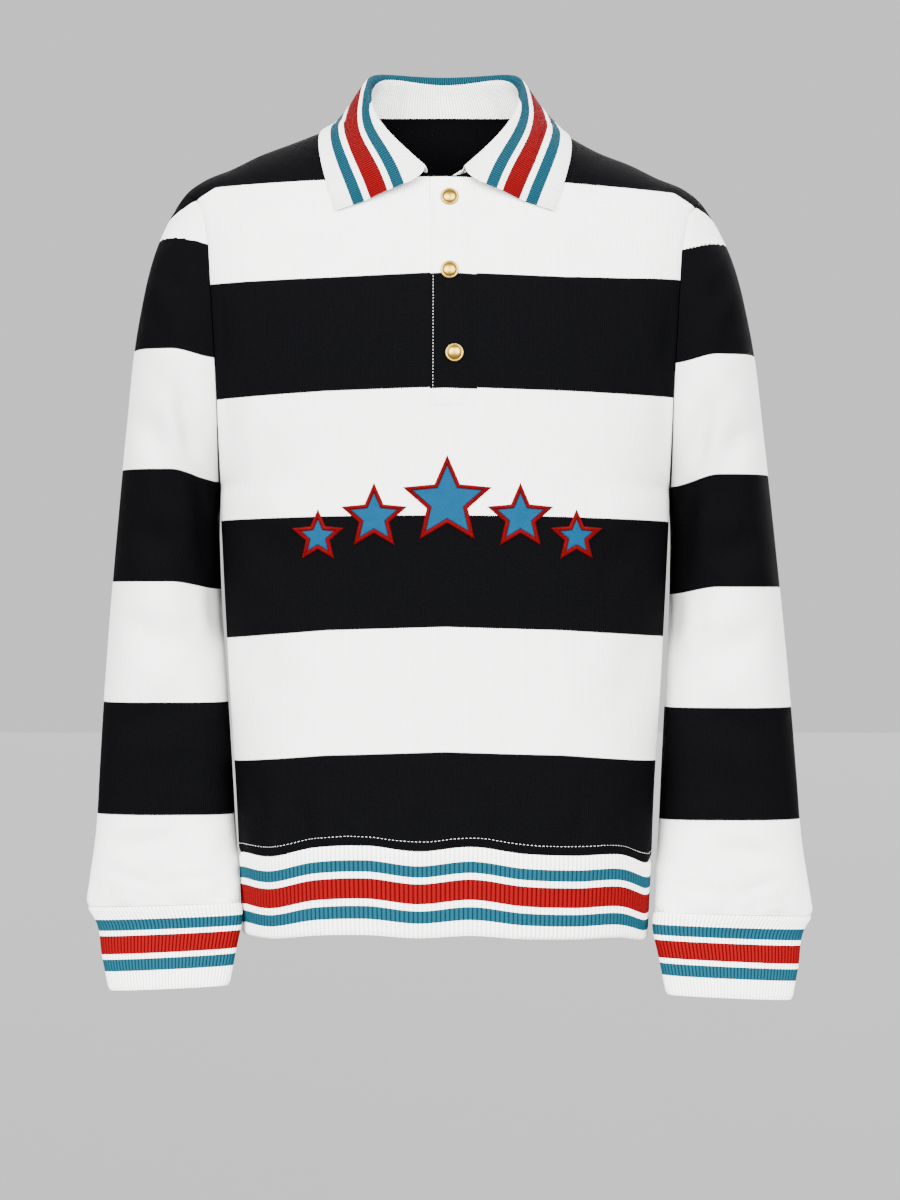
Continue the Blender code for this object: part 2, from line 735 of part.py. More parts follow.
def collar_seam(front, back, front_end):
    """The collar's two seam edges, from its front end at -X round the back to +X.

    front and back hold the neckline's points and normals for each grid line,
    and front_end those of the collar's end on the placket.
    """
    lines = PANEL_LINES
    left = [front[c] for c in range(len(lines)) if -NECK_SHARE <= lines[c] <= SLIT_LEFT][::-1]
    over = [back[c] for c in range(len(lines)) if -NECK_SHARE < lines[c] < NECK_SHARE]
    right = [front[c] for c in range(len(lines)) if SLIT_RIGHT <= lines[c] <= NECK_SHARE][::-1]
    seam = left + over + right + [front_end]
    edges = []
    for k, (point, normal) in enumerate(seam):
        tangent = seam[min(k + 1, len(seam) - 1)][0] - seam[max(k - 1, 0)][0]
        edge = point + tangent.cross(normal).normalized() * NECK_GAP
        edges.append((edge, edge - normal * JERSEY))
    edges[0] = [a.lerp(b, COLLAR_INSET) for a, b in zip(edges[0], edges[1])]
    return edges


def collar_section(seam, share, side):
    """Points across the collar's middle layer, from its seam over the fold to its edge."""
    shares = [s.share for s in COLLAR_STATIONS]
    place = 0
    while place < len(shares) - 2 and shares[place + 1] < share:
        place += 1
    place += (share - shares[place]) / (shares[place + 1] - shares[place])
    keys = [Path(mirrored([getattr(s, part) for s in COLLAR_STATIONS], side)).at(place)
            for part in ("fold_in", "fold_out", "fall", "edge")]
    fold_in, fold_out, fall, edge = keys
    crown = (fold_in + fold_out) / 2 + Vector((0, 0, (fold_out - fold_in).length / 2))
    outline = Path([seam, (seam + fold_in) / 2, fold_in, crown, fold_out, fall, edge])
    places = [0, 1, 2, 2.5, 3, 3.5, 4] + [4 + s for s in FALL_STEPS] + [5 + s for s in FALL_STEPS]
    return [outline.at(p) for p in places]


def collar(seam, cloth):
    """The collar from its seam edges; its fall lies on the cloth."""
    shares = shares_of([outer for outer, _ in seam])

    def section(outer, inner, share):
        row = collar_section((outer + inner) / 2, abs(2 * share - 1), -1 if share < 0.5 else 1)
        return row[:3] + [kept_off(cloth, p, COLLAR_LAY, COLLAR_DEEPEST) for p in row[3:]]

    edges, rows = [seam[0]], [section(*seam[0], shares[0])]
    for k, (start, end) in enumerate(zip(seam, seam[1:])):
        length = (section(*end, shares[k + 1])[-1] - rows[-1][-1]).length
        parts = max(1, round(length / COLLAR_SPAN))
        for step in even_shares(parts)[1:]:
            edge = [a.lerp(b, step) for a, b in zip(start, end)]
            edges.append(edge)
            rows.append(section(*edge, shares[k] + (shares[k + 1] - shares[k]) * step))
    normals = grid_normals(rows)
    under = moved(rows, normals, COLLAR_WALL / 2)
    face = moved(rows, normals, -COLLAR_WALL / 2)
    for k, (outer_edge, inner_edge) in enumerate(edges):
        under[k][0], face[k][0] = outer_edge, inner_edge
    return wall("collar", under, face, "rib_knit")


# --- Placket, snaps and patches -------------------------------------------------

def placket(front_panel, back_panel):
    places = panel_places(PLACKET_FOOT)
    grid = front_panel.grid([SLIT_LEFT, SLIT_MIDDLE, SLIT_RIGHT], places, back_panel)
    normals = grid_normals(grid)
    for row in grid:
        row[0] = row[0] + Vector((SEAM_GAP, 0, 0))
        row[-1] = row[-1] - Vector((SEAM_GAP, 0, 0))
    collar_end = (grid[-1][1], normals[-1][1])
    grid[0] = [p + Vector((0, 0, SEAM_GAP)) for p in grid[0]]
    grid[-1] = [p.lerp(below, PLACKET_LOW) for p, below in zip(grid[-1], grid[-2])]
    face = moved(grid, normals, PLACKET_RAISE)
    over = wall("placket_over", face, moved(grid, normals, -JERSEY), "jersey")
    lines = [SLIT_LEFT - UNDER_REACH, SLIT_LEFT, SLIT_MIDDLE, SLIT_RIGHT]
    deep = front_panel.grid(lines, [p for p in places if p <= LAST_LEVEL], back_panel)
    deep_normals = grid_normals(deep)
    wall("placket_under", moved(deep, deep_normals, -UNDER_OUTER),
         moved(deep, deep_normals, -UNDER_INNER), "jersey")
    return over, face, collar_end


def on_cloth(tree, x, z):
    """The point and normal of a surface straight behind x, z, seen from the front."""
    spot, normal, _, _ = tree.ray_cast(Vector((x, -300, z)), Vector((0, 1, 0)))
    return spot, normal


def snap(name, place, tree):
    """A domed cap, turned from its profile and standing square on the placket."""
    spot, normal = on_cloth(tree, *place)
    turn = Vector((0, 0, 1)).rotation_difference(normal)
    points = [Vector((0, 0, 0))]
    for radius, height in SNAP_PROFILE:
        for k in range(SNAP_SIDES):
            t = math.tau * k / SNAP_SIDES
            points.append(Vector((radius * math.cos(t), radius * math.sin(t), height)))
    points.append(Vector((0, 0, SNAP_PROFILE[-1][1] + 0.1)))
    faces = []
    for k in range(SNAP_SIDES):
        m = (k + 1) % SNAP_SIDES
        faces.append((0, 1 + m, 1 + k))
        for r in range(len(SNAP_PROFILE) - 1):
            low, high = 1 + r * SNAP_SIDES, 1 + (r + 1) * SNAP_SIDES
            faces.append((low + k, low + m, high + m, high + k))
        faces.append((high + k, high + m, len(points) - 1))
    base = spot + normal * SNAP_LIFT
    return add_object(name, [base + turn @ p for p in points], faces, "brass")


def star_patch(name, star, tree):
    """A five-pointed patch that follows the front: its middle, a half-size star and a star."""
    corners = []
    for k in range(10):
        radius = star.radius * (1 if k % 2 == 0 else STAR_INNER)
        t = math.pi / 2 + math.pi * k / 5
        corners.append((star.x + radius * math.cos(t), star.z + radius * math.sin(t)))
    outline = []
    for (x0, z0), (x1, z1) in zip(corners, corners[1:] + corners[:1]):
        outline += [(x0, z0), ((x0 + x1) / 2, (z0 + z1) / 2)]
    half = [((x + star.x) / 2, (z + star.z) / 2) for x, z in outline]
    flat = [(star.x, star.z)] + half + outline
    spots = [on_cloth(tree, x, z) for x, z in flat]
    low = [spot + normal * STAR_LIFT for spot, normal in spots]
    high = [spot + normal * (STAR_LIFT + STAR_THICKNESS) for spot, normal in spots]
    count, shift = len(outline), len(flat)
    faces = []
    for k in range(count):
        a, b = 1 + k, 1 + (k + 1) % count
        c, d = a + count, b + count
        for top in ((0, a, b), (a, c, d), (a, d, b)):
            faces += [tuple(i + shift for i in top), top[::-1]]
        faces.append((c, d, d + shift, c + shift))
    return add_object(name, low + high, faces, "felt")


# --- Build --------------------------------------------------------------------

def clear_scene():
    for old in list(bpy.data.objects):
        bpy.data.objects.remove(old, do_unlink=True)


def build():
    clear_scene()
    front_panel = Panel(FRONT_LEVELS, FRONT_NECK, FRONT_CAP, FRONT_HEM_WAVE)
    back_panel = Panel(BACK_LEVELS, BACK_NECK, BACK_CAP, BACK_HEM_WAVE)
    front = front_panel.grid(PANEL_LINES, PLACES, back_panel)
    back = back_panel.grid(PANEL_LINES, PLACES, front_panel)
    frames = [(front, *seam_frames(front, back, 1)), (back, *seam_frames(back, front, -1))]

    band_rings = hem_rings()
    hem_band(band_rings)
    body = cloth_surface([(front, False), ([row[::-1] for row in back], False),
                          (band_rings, True)])
    for end, name in ((-1, "sleeve_left"), (1, "sleeve_right")):
        hole = Armhole(front, back, end)
        rings = sleeve_rings(end, shares_of(hole.points[:hole.down]), body)
        sleeve(name, end, hole, rings, frames)
    cuff("cuff_left", -1)
    cuff("cuff_right", 1)

    slit = PANEL_LINES.index(SLIT_LEFT)
    slit_faces = {(r, slit) for r in range(FOOT_ROW, TOP_ROW)}
    (_, front_normals, front_ways), (_, back_normals, back_ways) = frames
    front_cloth = drawn_back(front, front_ways)
    front_piece = wall("front", front_cloth, moved(front_cloth, front_normals, -JERSEY),
                       "jersey", skip=slit_faces)
    back_cloth = drawn_back(back, back_ways)
    back_inner = moved(back_cloth, back_normals, -JERSEY)
    wall("back", [row[::-1] for row in back_cloth], [row[::-1] for row in back_inner], "jersey")

    over, placket_face, collar_end = placket(front_panel, back_panel)
    seam = collar_seam(list(zip(front[TOP_ROW], front_normals[TOP_ROW])),
                       list(zip(back[TOP_ROW], back_normals[TOP_ROW])), collar_end)
    collar(seam, cloth_surface([(front, False), ([row[::-1] for row in back], False),
                                (placket_face, False)]))

    strip = surface_of(over)
    for name, place in SNAP_PLACES.items():
        snap(name, place, strip)
    chest = surface_of(front_piece)
    for number, star in enumerate(STARS, 1):
        star_patch(f"star_{number}", star, chest)


build()
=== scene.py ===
"""The looks of a striped long-sleeved polo shirt, worn form: cloth, rib knit, patches, snaps.

The form of each panel comes from the same sections as its solid, cut finer, with
creases, seam grooves and ribs set into it. Lengths in the tables are millimetres.
"""

import math
from collections import namedtuple

import bmesh
import bpy
import numpy as np
from mathutils import Matrix, Vector
from mathutils.bvhtree import BVHTree


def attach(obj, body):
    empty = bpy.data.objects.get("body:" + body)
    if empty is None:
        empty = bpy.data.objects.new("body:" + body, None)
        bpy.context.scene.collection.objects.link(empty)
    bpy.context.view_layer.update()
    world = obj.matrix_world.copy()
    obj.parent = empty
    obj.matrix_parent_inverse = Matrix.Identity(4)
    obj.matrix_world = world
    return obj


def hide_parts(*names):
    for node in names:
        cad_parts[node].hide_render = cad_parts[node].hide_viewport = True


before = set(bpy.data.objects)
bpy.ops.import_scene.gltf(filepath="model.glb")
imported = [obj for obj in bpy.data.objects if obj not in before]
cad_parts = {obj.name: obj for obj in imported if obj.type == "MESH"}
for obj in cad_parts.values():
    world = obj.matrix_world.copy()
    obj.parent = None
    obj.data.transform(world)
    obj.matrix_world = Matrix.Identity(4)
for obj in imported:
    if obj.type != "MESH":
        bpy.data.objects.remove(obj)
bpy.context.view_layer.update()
MM = 0.001

# --- The form, as the solids have it ----------------------------------------------

JERSEY = 1.3                # thickness of the striped jersey
RIB_WALL = 1.8
RIB_RISE = 0.8
RIB_PITCH = 3.9
CUFF_RIB_PITCH = 3.6
COLLAR_WALL = 1.5
SEAM_GAP = 0.3
NECK_GAP = 0.6
SQUARENESS = 2.6
NECK_SHARE = 0.385
NECK_EASE = 1.25
SHOULDER_DROP = 8.0         # how much lower the shoulder at +X hangs
SECTION_STEPS = 40          # chords of half a level, before it is cut evenly
ARC_STEPS = 48              # and of half a ring
CURVE_STEPS = 10            # and of each span of a smooth curve

Level = namedtuple("Level", "mid_z mid_y edge_x edge_y edge_z turn")
FRONT_LEVELS = [
    Level(-620, -115.0, 176.5, 2, -629, 90),
    Level(-560, -116.0, 180.0, 2, -563, 90),
    Level(-500, -118.0, 184.0, 3, -501, 90),
    Level(-440, -120.0, 187.5, 4, -440, 90),
    Level(-380, -122.0, 190.5, 4, -380, 90),
    Level(-328, -124.5, 192.7, 4, -322, 90),
    Level(-290, -126.0, 192.6, -30, -306, 79),
    Level(-249, -127.5, 192.8, -56, -273, 69),
    Level(-205, -128.0, 194.0, -70, -228, 62),
    Level(-165, -125.0, 196.5, -73, -180, 57),
    Level(-130, -119.0, 199.0, -70, -138, 53),
    Level(-100, -111.5, 201.5, -62.5, -104, 50),
    Level(-80, -104.5, 205.0, -53, -86, 50),
    Level(-68, -100.5, 209.5, -43, -74, 52),
]
BACK_LEVELS = [
    Level(-629, 105.0, 176.5, 2, -629, 90),
    Level(-563, 99.0, 180.0, 2, -563, 90),
    Level(-501, 93.0, 184.0, 3, -501, 90),
    Level(-440, 90.0, 187.5, 4, -440, 90),
    Level(-380, 93.0, 190.5, 4, -380, 90),
    Level(-326, 100.0, 192.7, 4, -322, 90),
    Level(-290, 105.0, 192.6, 40, -306, 79),
    Level(-250, 109.0, 193.0, 64, -273, 69),
    Level(-205, 111.5, 194.5, 78, -228, 62),
    Level(-160, 112.0, 197.0, 83, -180, 57),
    Level(-120, 109.0, 200.0, 80, -138, 53),
    Level(-85, 101.0, 203.0, 72, -104, 50),
    Level(-55, 89.0, 206.0, 61, -86, 50),
    Level(-30, 77.0, 210.0, 50, -75, 52),
]
UNDERARM = 5
PLACKET_FOOT = 7
LAST_LEVEL = len(FRONT_LEVELS) - 1

SHOULDER_SEAM = [(78, 3, 5), (100, 3, -5.5), (125, 3, -15.5), (144, 3, -23), (164, 4, -31),
                 (186, 4, -43), (207, 5, -52), (217, 5, -58), (227, 5, -67), (235, 5, -79)]
FRONT_NECK = [(0, -98, -57), (32, -88, -47), (56, -66, -28), (72, -34, -8), (78, 3, 5)]
BACK_NECK = [(0, 62, 9), (42, 53, 8), (68, 30, 6), (78, 3, 5)]
FRONT_CAP = [(209.5, -43, -74), (216, -31, -67.5), (226, -15, -70.5), (235, 5, -79)]
BACK_CAP = [(210, 50, -75), (217, 41, -69.5), (227, 24, -71.5), (235, 5, -79)]
CAP_STEPS = 3
FRONT_HEM_WAVE = [1, 3, -1, 5, 5, -1, 3, -2, -2, 1, -6, -3]
BACK_HEM_WAVE = [1, 4, 0, 4, -2, 3, -1, 4, -3, -3]

SLIT_LEFT, SLIT_MIDDLE, SLIT_RIGHT = -0.058, 0.0345, 0.127
SIDE_LINES = [0.48, 0.58, 0.68, 0.78, 0.87, 0.94, 1.0]
NECK_LINES = [-0.28, -0.17, SLIT_LEFT, SLIT_MIDDLE, SLIT_RIGHT, 0.21, 0.30]
PANEL_LINES = ([-s for s in reversed(SIDE_LINES)] + [-NECK_SHARE] + NECK_LINES
               + [NECK_SHARE] + SIDE_LINES)
HALF_STEPS = (6, 7, 8, 9)

Ring = namedtuple("Ring", "inner outer half_depth")
SLEEVE_RINGS = [
    Ring((-194.3, 4, -334), (-250.5, 5, -118), 82),
    Ring((-194.2, 5, -352), (-264.5, 5, -182), 85),
    Ring((-193.5, 6, -376), (-273.5, 5, -262), 82),
    Ring((-192.3, 7, -407), (-281.0, 5, -340), 77),
    Ring((-190.0, 8, -447), (-287.5, 4, -415), 71),
    Ring((-186.4, 8, -500), (-293.5, 3, -496), 62),
    Ring((-183.0, 4, -553), (-297.0, 1, -558), 52),
    Ring((-179.8, -8, -603), (-299.5, -2, -610), 42),
    Ring((-176.0, -26, -645), (-303.5, -8, -648), 33),
    Ring((-174.2, -36.5, -668), (-306.0, -12.3, -673), 26.6),
]
CUFF_RINGS = [
    Ring((-174.2, -36.5, -668.2), (-306.0, -12.3, -673.2), 26.1),
    Ring((-173.2, -40, -680), (-298.0, -17, -686), 20.6),
    Ring((-178.3, -43.5, -708), (-292.5, -22, -715), 19),
    Ring((-184.0, -47.5, -738), (-286.0, -28, -744), 18),
]
SLEEVE_SQUARENESS = 2.2
CUFF_POINTS = 40            # round half a cuff
HEM_POINTS = 120            # round half the hem
RIGHT_LOW = 8.0
RIGHT_SPREAD = 0.022
RIGHT_START = -300
SLEEVE_CLEARANCE = 1.0
SLEEVE_DEEPEST = 8.0
Fold = namedtuple("Fold", "z x depth half_width")
SLEEVE_FOLD = [
    Fold(-190, -232, 0, 24),
    Fold(-235, -226, 5, 24),
    Fold(-300, -215, 13, 25),
    Fold(-395, -203, 17, 26),
    Fold(-450, -199, 12, 26),
    Fold(-520, -197, 0, 26),
]
BAND_HEIGHT = 70.0
BAND_DRAW_IN = 3.5

Station = namedtuple("Station", "share fold_in fold_out fall edge")
COLLAR_STATIONS = [
    Station(0.00, (0, 57, 41), (0, 62, 41), (0, 69, 18), (0, 81, -5)),
    Station(0.21, (38, 49, 42), (42, 54, 42), (48, 61, 20), (56, 73, -3)),
    Station(0.33, (60, 30, 41), (66, 33, 41), (75, 39, 19), (87, 46, -3)),
    Station(0.425, (65, 5, 28), (72, 6, 29), (86, 3, 12), (102, -1, -8)),
    Station(0.50, (63, -14, 14), (70, -16, 15), (87, -25, -3), (105, -36, -25)),
    Station(0.60, (57, -40, -3), (63, -43, -3), (84, -56, -22), (103, -67, -45)),
    Station(0.74, (44, -65, -21), (49, -69, -21), (74, -81, -42), (99, -86, -64)),
    Station(0.88, (27, -87, -41), (30, -92.5, -41), (58, -98, -58), (93, -95, -80)),
    Station(1.00, (15, -97, -50), (18, -102.5, -51), (53, -107, -70), (90, -97, -87)),
]
COLLAR_INSET = 0.06
COLLAR_LAY = 3.2
COLLAR_DEEPEST = 20.0
COLLAR_SPAN = 12.0
COLLAR_EASINGS = 6
COLLAR_TURN = 55.0          # past the fold, from the neck seam
COLLAR_CLEAR = 1.7
FALL_STEPS = (0.34, 0.67, 1.0)
PLACKET_RAISE = 1.4
UNDER_OUTER, UNDER_INNER = 2.4, 4.0

# --- Looks ------------------------------------------------------------------------

CLOTH_STEP = 4.3            # mesh of the striped cloth
SLIT_STEP = 1.6             # and across the placket
BAND_STEP = 3.4             # rows of a ribbed band
RIB_POINTS = 8              # across each rib
COLLAR_STEP = 2.2
SHARP_ANGLE, CAP_SHARP_ANGLE = 60, 50       # degrees, above which an edge isn't smoothed

SEAM_DEPTH, SEAM_WIDTH = 0.9, 2.6           # of the groove along a seam
FLUTTER_PITCH, FLUTTER_REACH, FLUTTER_RISE = 34, 26, 1.1
FLUTES, FLUTE_REACH, FLUTE_RISE = (7, 13), 22, 1.6      # where a sleeve is drawn into its cuff
RIB_SINK = 0.25             # the valleys lie this far under the wall
WALE, COURSE = 1.8, 1.3     # the jersey's knit, across and up
RIB_PLAIT = 1.35
COLLAR_RIB, COLLAR_PLAIT = 2.4, 1.2
SATIN_THREAD = 0.62

# Edges between stripes: their heights at these places across a panel
STRIPE_X = [-235, -195, -100, 0, 100, 195, 235]
FRONT_STRIPES = [
    (-85, -60.5, -57.8, -55, -60, -65, -89.5),
    (-144.2, -144.2, -141.5, -137, -140.8, -140.2, -140.2),
    (-242.2, -242.2, -236.8, -233.5, -236.6, -240.4, -240.4),
    (-343.4, -343.4, -341, -340.2, -341.4, -344.4, -344.4),
    (-444, -444, -436.5, -433.5, -436.5, -442.5, -442.5),
    (-549, -549, -541, -537.9, -541, -549, -549),
    (-650, -650, -645, -640, -645, -650, -650),
]
BACK_STRIPES = [
    (-85, -60.5, -58, -56, -60, -65, -89.5),
    (-144.2, -144.2, -140, -137, -139, -140.2, -140.2),
    (-242.2, -242.2, -238, -237, -238, -240.4, -240.4),
    (-343.4, -343.4, -342, -341, -342, -344.4, -344.4),
    (-444, -444, -442, -441, -442, -442.5, -442.5),
    (-549, -549, -547, -546, -547, -549, -549),
    (-650, -650, -648, -647, -648, -650, -650),
]
SLEEVE_STRIPES = [-102, -198.5, -300, -395.5, -498, -594, -700]
SLEEVE_DROPS = [8, 8, 10, 6, 0, 0, 0]       # how far they drop towards the body
SLEEVE_DROP_X, SLEEVE_DROP_SPAN = 232, 40   # from here in, over this width
SHOULDER_X = [195, 235, 250]                # the edge of the black yoke on the sleeve's cap
SHOULDER_Z = [-60.5, -84, -97]
RIGHT_STRIPES_LOW = 4.5     # the sleeve's stripes at +X are lower by this

HEM_BANDS = [12, 21.5, 26.5, 42, 47, 56.5]      # from the seam down: teal, white, red, white, teal
CUFF_BANDS = [12.5, 22.3, 26.7, 42.2, 46.6, 57]
COLLAR_BANDS = [15, 25, 30.5, 46.5, 51.5, 61.5]  # from the outer edge in

# A crease: its two ends in the picture's plane, half width and depth (+ is a groove)
Crease = namedtuple("Crease", "x0 z0 x1 z1 width depth")
FRONT_CREASES = [
    Crease(-158, -560, -156, -640, 9, 3.6), Crease(158, -570, 157, -640, 9, 3.6),
    Crease(-196, -150, -188, -300, 12, 3.0), Crease(196, -150, 190, -300, 12, 3.0),
    Crease(-186, -330, -120, -395, 15, 2.4), Crease(188, -335, 125, -400, 15, 2.4),
    Crease(-184, -400, -140, -505, 16, 2.2), Crease(186, -420, 140, -520, 16, 2.2),
    Crease(-120, -575, -118, -630, 10, 2.4), Crease(-70, -590, -72, -630, 9, -1.8),
    Crease(-20, -580, -22, -630, 10, 2.4), Crease(45, -585, 44, -630, 10, 2.2),
    Crease(105, -590, 108, -630, 10, 2.2),
    Crease(-92, -105, -170, -130, 16, 1.7), Crease(95, -110, 172, -140, 16, 1.7),
]
BACK_CREASES = [
    Crease(-180, -330, -90, -420, 18, 2.4), Crease(182, -335, 90, -430, 18, 2.4),
    Crease(-185, -390, -60, -500, 20, 2.0), Crease(184, -400, 70, -520, 20, 2.0),
    Crease(-120, -560, -118, -640, 12, 2.4), Crease(-40, -570, -42, -640, 12, 2.2),
    Crease(45, -560, 44, -640, 12, 2.4), Crease(120, -570, 122, -640, 12, 2.2),
    Crease(-60, -20, 60, -22, 14, 1.4),
]
SLEEVE_CREASES = [
    Crease(-224, -225, -212, -300, 7, 5.5), Crease(-212, -300, -199, -395, 7, 6.5),
    Crease(-199, -395, -190, -450, 7, 5.0),
    Crease(-243, -120, -222, -160, 8, 2.4), Crease(-252, -150, -232, -205, 9, 2.6),
    Crease(-262, -250, -232, -290, 11, 2.8), Crease(-268, -345, -225, -372, 12, 3.4),
    Crease(-276, -430, -215, -452, 13, 3.2), Crease(-285, -520, -215, -500, 13, 2.8),
    Crease(-248, -652, -186, -645, 4, 1.8), Crease(-290, -640, -242, -655, 4, 1.6),
    Crease(-285, -622, -225, -614, 7, 2.4), Crease(-230, -592, -184, -604, 8, 2.4),
]

Colour = namedtuple("Colour", "red green blue")
BLACK = Colour(0.0017, 0.0017, 0.0021)
WHITE = Colour(0.86, 0.855, 0.835)
RIB_WHITE = Colour(0.88, 0.875, 0.85)
TEAL = Colour(0.005, 0.042, 0.064)
RED = Colour(0.115, 0.0004, 0.0016)
FELT_TEAL = Colour(0.0022, 0.036, 0.080)
SATIN_RED = Colour(0.118, 0.0006, 0.002)
THREAD_WHITE = Colour(0.8, 0.79, 0.76)
BRASS_PALE = Colour(0.34, 0.22, 0.04)
BRASS_DEEP = Colour(0.24, 0.15, 0.025)
# Painted shade for the snaps' groove
BRASS_GROOVE_SHADE = Colour(0.05, 0.03, 0.008)
FLOOR_GREY = Colour(0.144, 0.144, 0.144)
# Painted shade in the valleys between the ribs of the hem and cuffs: how light those valleys are
# painted
HEM_RIB_LIGHT, CUFF_RIB_LIGHT = 0.36, 0.32  # how light the valleys between ribs are

Star = namedtuple("Star", "x z radius")
STARS = [Star(-106, -358, 23), Star(-59, -342, 29), Star(2, -329, 39), Star(63, -342, 29),
         Star(110, -358, 23)]
STAR_INNER = 0.46           # share of the radius at the inner corners
STAR_BORDER = 3.4
STAR_EDGE_POINTS = 14
STAR_BORDER_STEPS = [1.0, 0.93, 0.8, 0.62, 0.42, 0.24, 0.1, 0.03, 0.0]
STAR_FIELD_STEPS = 7
SNAPS = {"snap_top": (4, -73), "snap_middle": (4, -135.5), "snap_bottom": (8, -205)}
SNAP_RADIUS, SNAP_WALL, SNAP_LIFT = 7.6, 1.6, 0.55
SNAP_INSETS = ((0.4, 0.35), (0.45, 0.1), (0.35, -0.25), (0.35, 0.05), (0.55, 0.6),
               (0.9, 0.6), (1.2, 0.48), (1.4, 0.3), (1.2, 0.1))  # how far in, and how far up
# The painted shade in the snaps' groove: its radius, its width, and the height above which it is
# painted
SNAP_GROOVE, SNAP_GROOVE_WIDTH, SNAP_GROOVE_Z = 6.3, 0.4, 1.2

# Stitches: their spacing, length, thickness and height over the cloth
HEM_STITCH = (3.3, 1.8, 0.32, 0.12)
PLACKET_STITCH = (2.7, 1.4, 0.3, 0.1)
HEM_STITCH_UP = 7.5         # from the hem seam
STITCH_PROFILE = [(-0.5, 0.25), (-0.34, 0.9), (0.0, 1.0), (0.34, 0.9), (0.5, 0.25)]
STITCH_SIDES = 6

PHOTO_SCALE = 0.86          # millimetres of the object for a pixel at the side seams
PHOTO_HEIGHT = 1200
CAMERA_AT = (4.3, -4000, -411)
SENSOR = 36.0
FLOOR_SIZE, FLOOR_Z = 60, -1.38             # metres
AIR = (0.86, 0.86, 0.86, 1)
SUNS = (("left_light", (-2.4, -4.0, 1.7), 14.7, 50),    # place, strength, width in degrees
        ("right_light", (2.2, -4.0, 1.7), 12.4, 50),
        ("back_light", (0.8, 4.0, 2.4), 10.8, 60))


# --- Curves -----------------------------------------------------------------------

def smooth_step(value):
    value = np.clip(value, 0.0, 1.0)
    return value * value * (3 - 2 * value)


class Path:
    """A smooth curve through points; whole numbers give the points themselves."""

    def __init__(self, points):
        self.points = [Vector(p) for p in points]
        self.slopes = []
        last = len(self.points) - 1
        for i in range(last + 1):
            before = self.points[i] - self.points[max(i - 1, 0)]
            after = self.points[min(i + 1, last)] - self.points[i]
            if 0 < i < last:
                slope = before.normalized() * after.length + after.normalized() * before.length
                slope /= before.length + after.length
            else:
                slope = (before + after).normalized()
            self.slopes.append(slope)

    def at(self, place):
        i = min(int(place), len(self.points) - 2)
        f = place - i
        start, end = self.points[i], self.points[i + 1]
        reach = (end - start).length
        return (start * (2 * f**3 - 3 * f**2 + 1) + end * (3 * f**2 - 2 * f**3)
                + self.slopes[i] * reach * (f**3 - 2 * f**2 + f)
                + self.slopes[i + 1] * reach * (f**3 - f**2))

    def spread(self, shares):
        count = (len(self.points) - 1) * CURVE_STEPS
        return along([self.at(k / CURVE_STEPS) for k in range(count + 1)], shares)


def shares_of(points):
    lengths = [0.0]
    for a, b in zip(points, points[1:]):
        lengths.append(lengths[-1] + (b - a).length)
    return [length / lengths[-1] for length in lengths]


def along(points, shares):
    """Points at the given shares of a polyline's length."""
    known = shares_of(points)
    found = []
    i = 0
    for share in shares:
        while i < len(points) - 2 and known[i + 1] < share:
            i += 1
        found.append(points[i].lerp(points[i + 1], (share - known[i]) / (known[i + 1] - known[i])))
    return found


def even_shares(count):
    return [k / count for k in range(count + 1)]


def between(value, keys, values):
    i = 0
    while i < len(keys) - 2 and keys[i + 1] < value:
        i += 1
    share = max(0.0, min(1.0, (value - keys[i]) / (keys[i + 1] - keys[i])))
    return values[i] * (1 - share) + values[i + 1] * share


# --- The panels' form -------------------------------------------------------------

def hang(point):
    """Lower the shoulder at +X, fading out at the neck and below the armhole."""
    share = smooth_step((point.x - 75) / 65) * smooth_step((point.z + 400) / 280)
    draw_in = 2.5 * share * smooth_step((point.x - 200) / 30)
    return point - Vector((draw_in, 0, SHOULDER_DROP * share))


def mirrored(points, end):
    return [Vector((p[0] if end >= 0 else -p[0], p[1], p[2])) for p in points]


def level_points(level, lines):
    turn = math.radians(level.turn)
    power = 2 / SQUARENESS
    far = math.cos(turn) ** power if level.turn < 90 else 0.0
    reach = level.edge_x / math.sin(turn) ** power
    depth = (level.mid_y - level.edge_y) / (1 - far)
    half = []
    for k in range(SECTION_STEPS + 1):
        t = turn * k / SECTION_STEPS
        x = reach * math.sin(t) ** power
        y = level.mid_y - depth + depth * max(math.cos(t), 0.0) ** power
        z = level.mid_z + (level.edge_z - level.mid_z) * (x / level.edge_x) ** 2
        half.append(Vector((x, y, z)))
    return [hang(mirrored(along(half, [abs(line)]), line)[0]) for line in lines]


def hem_rise(wave, line):
    path = Path([(10 * i, 0, rise) for i, rise in enumerate(wave)])
    return path.at((line + 1) / 2 * (len(wave) - 1)).z


def top_point(line, neck):
    size = abs(line)
    if size >= NECK_SHARE:
        seam, share = SHOULDER_SEAM, (size - NECK_SHARE) / (1 - NECK_SHARE)
    else:
        seam, share = neck, (size / NECK_SHARE) ** NECK_EASE
    return hang(Path(mirrored(seam, line)).spread([share])[0])


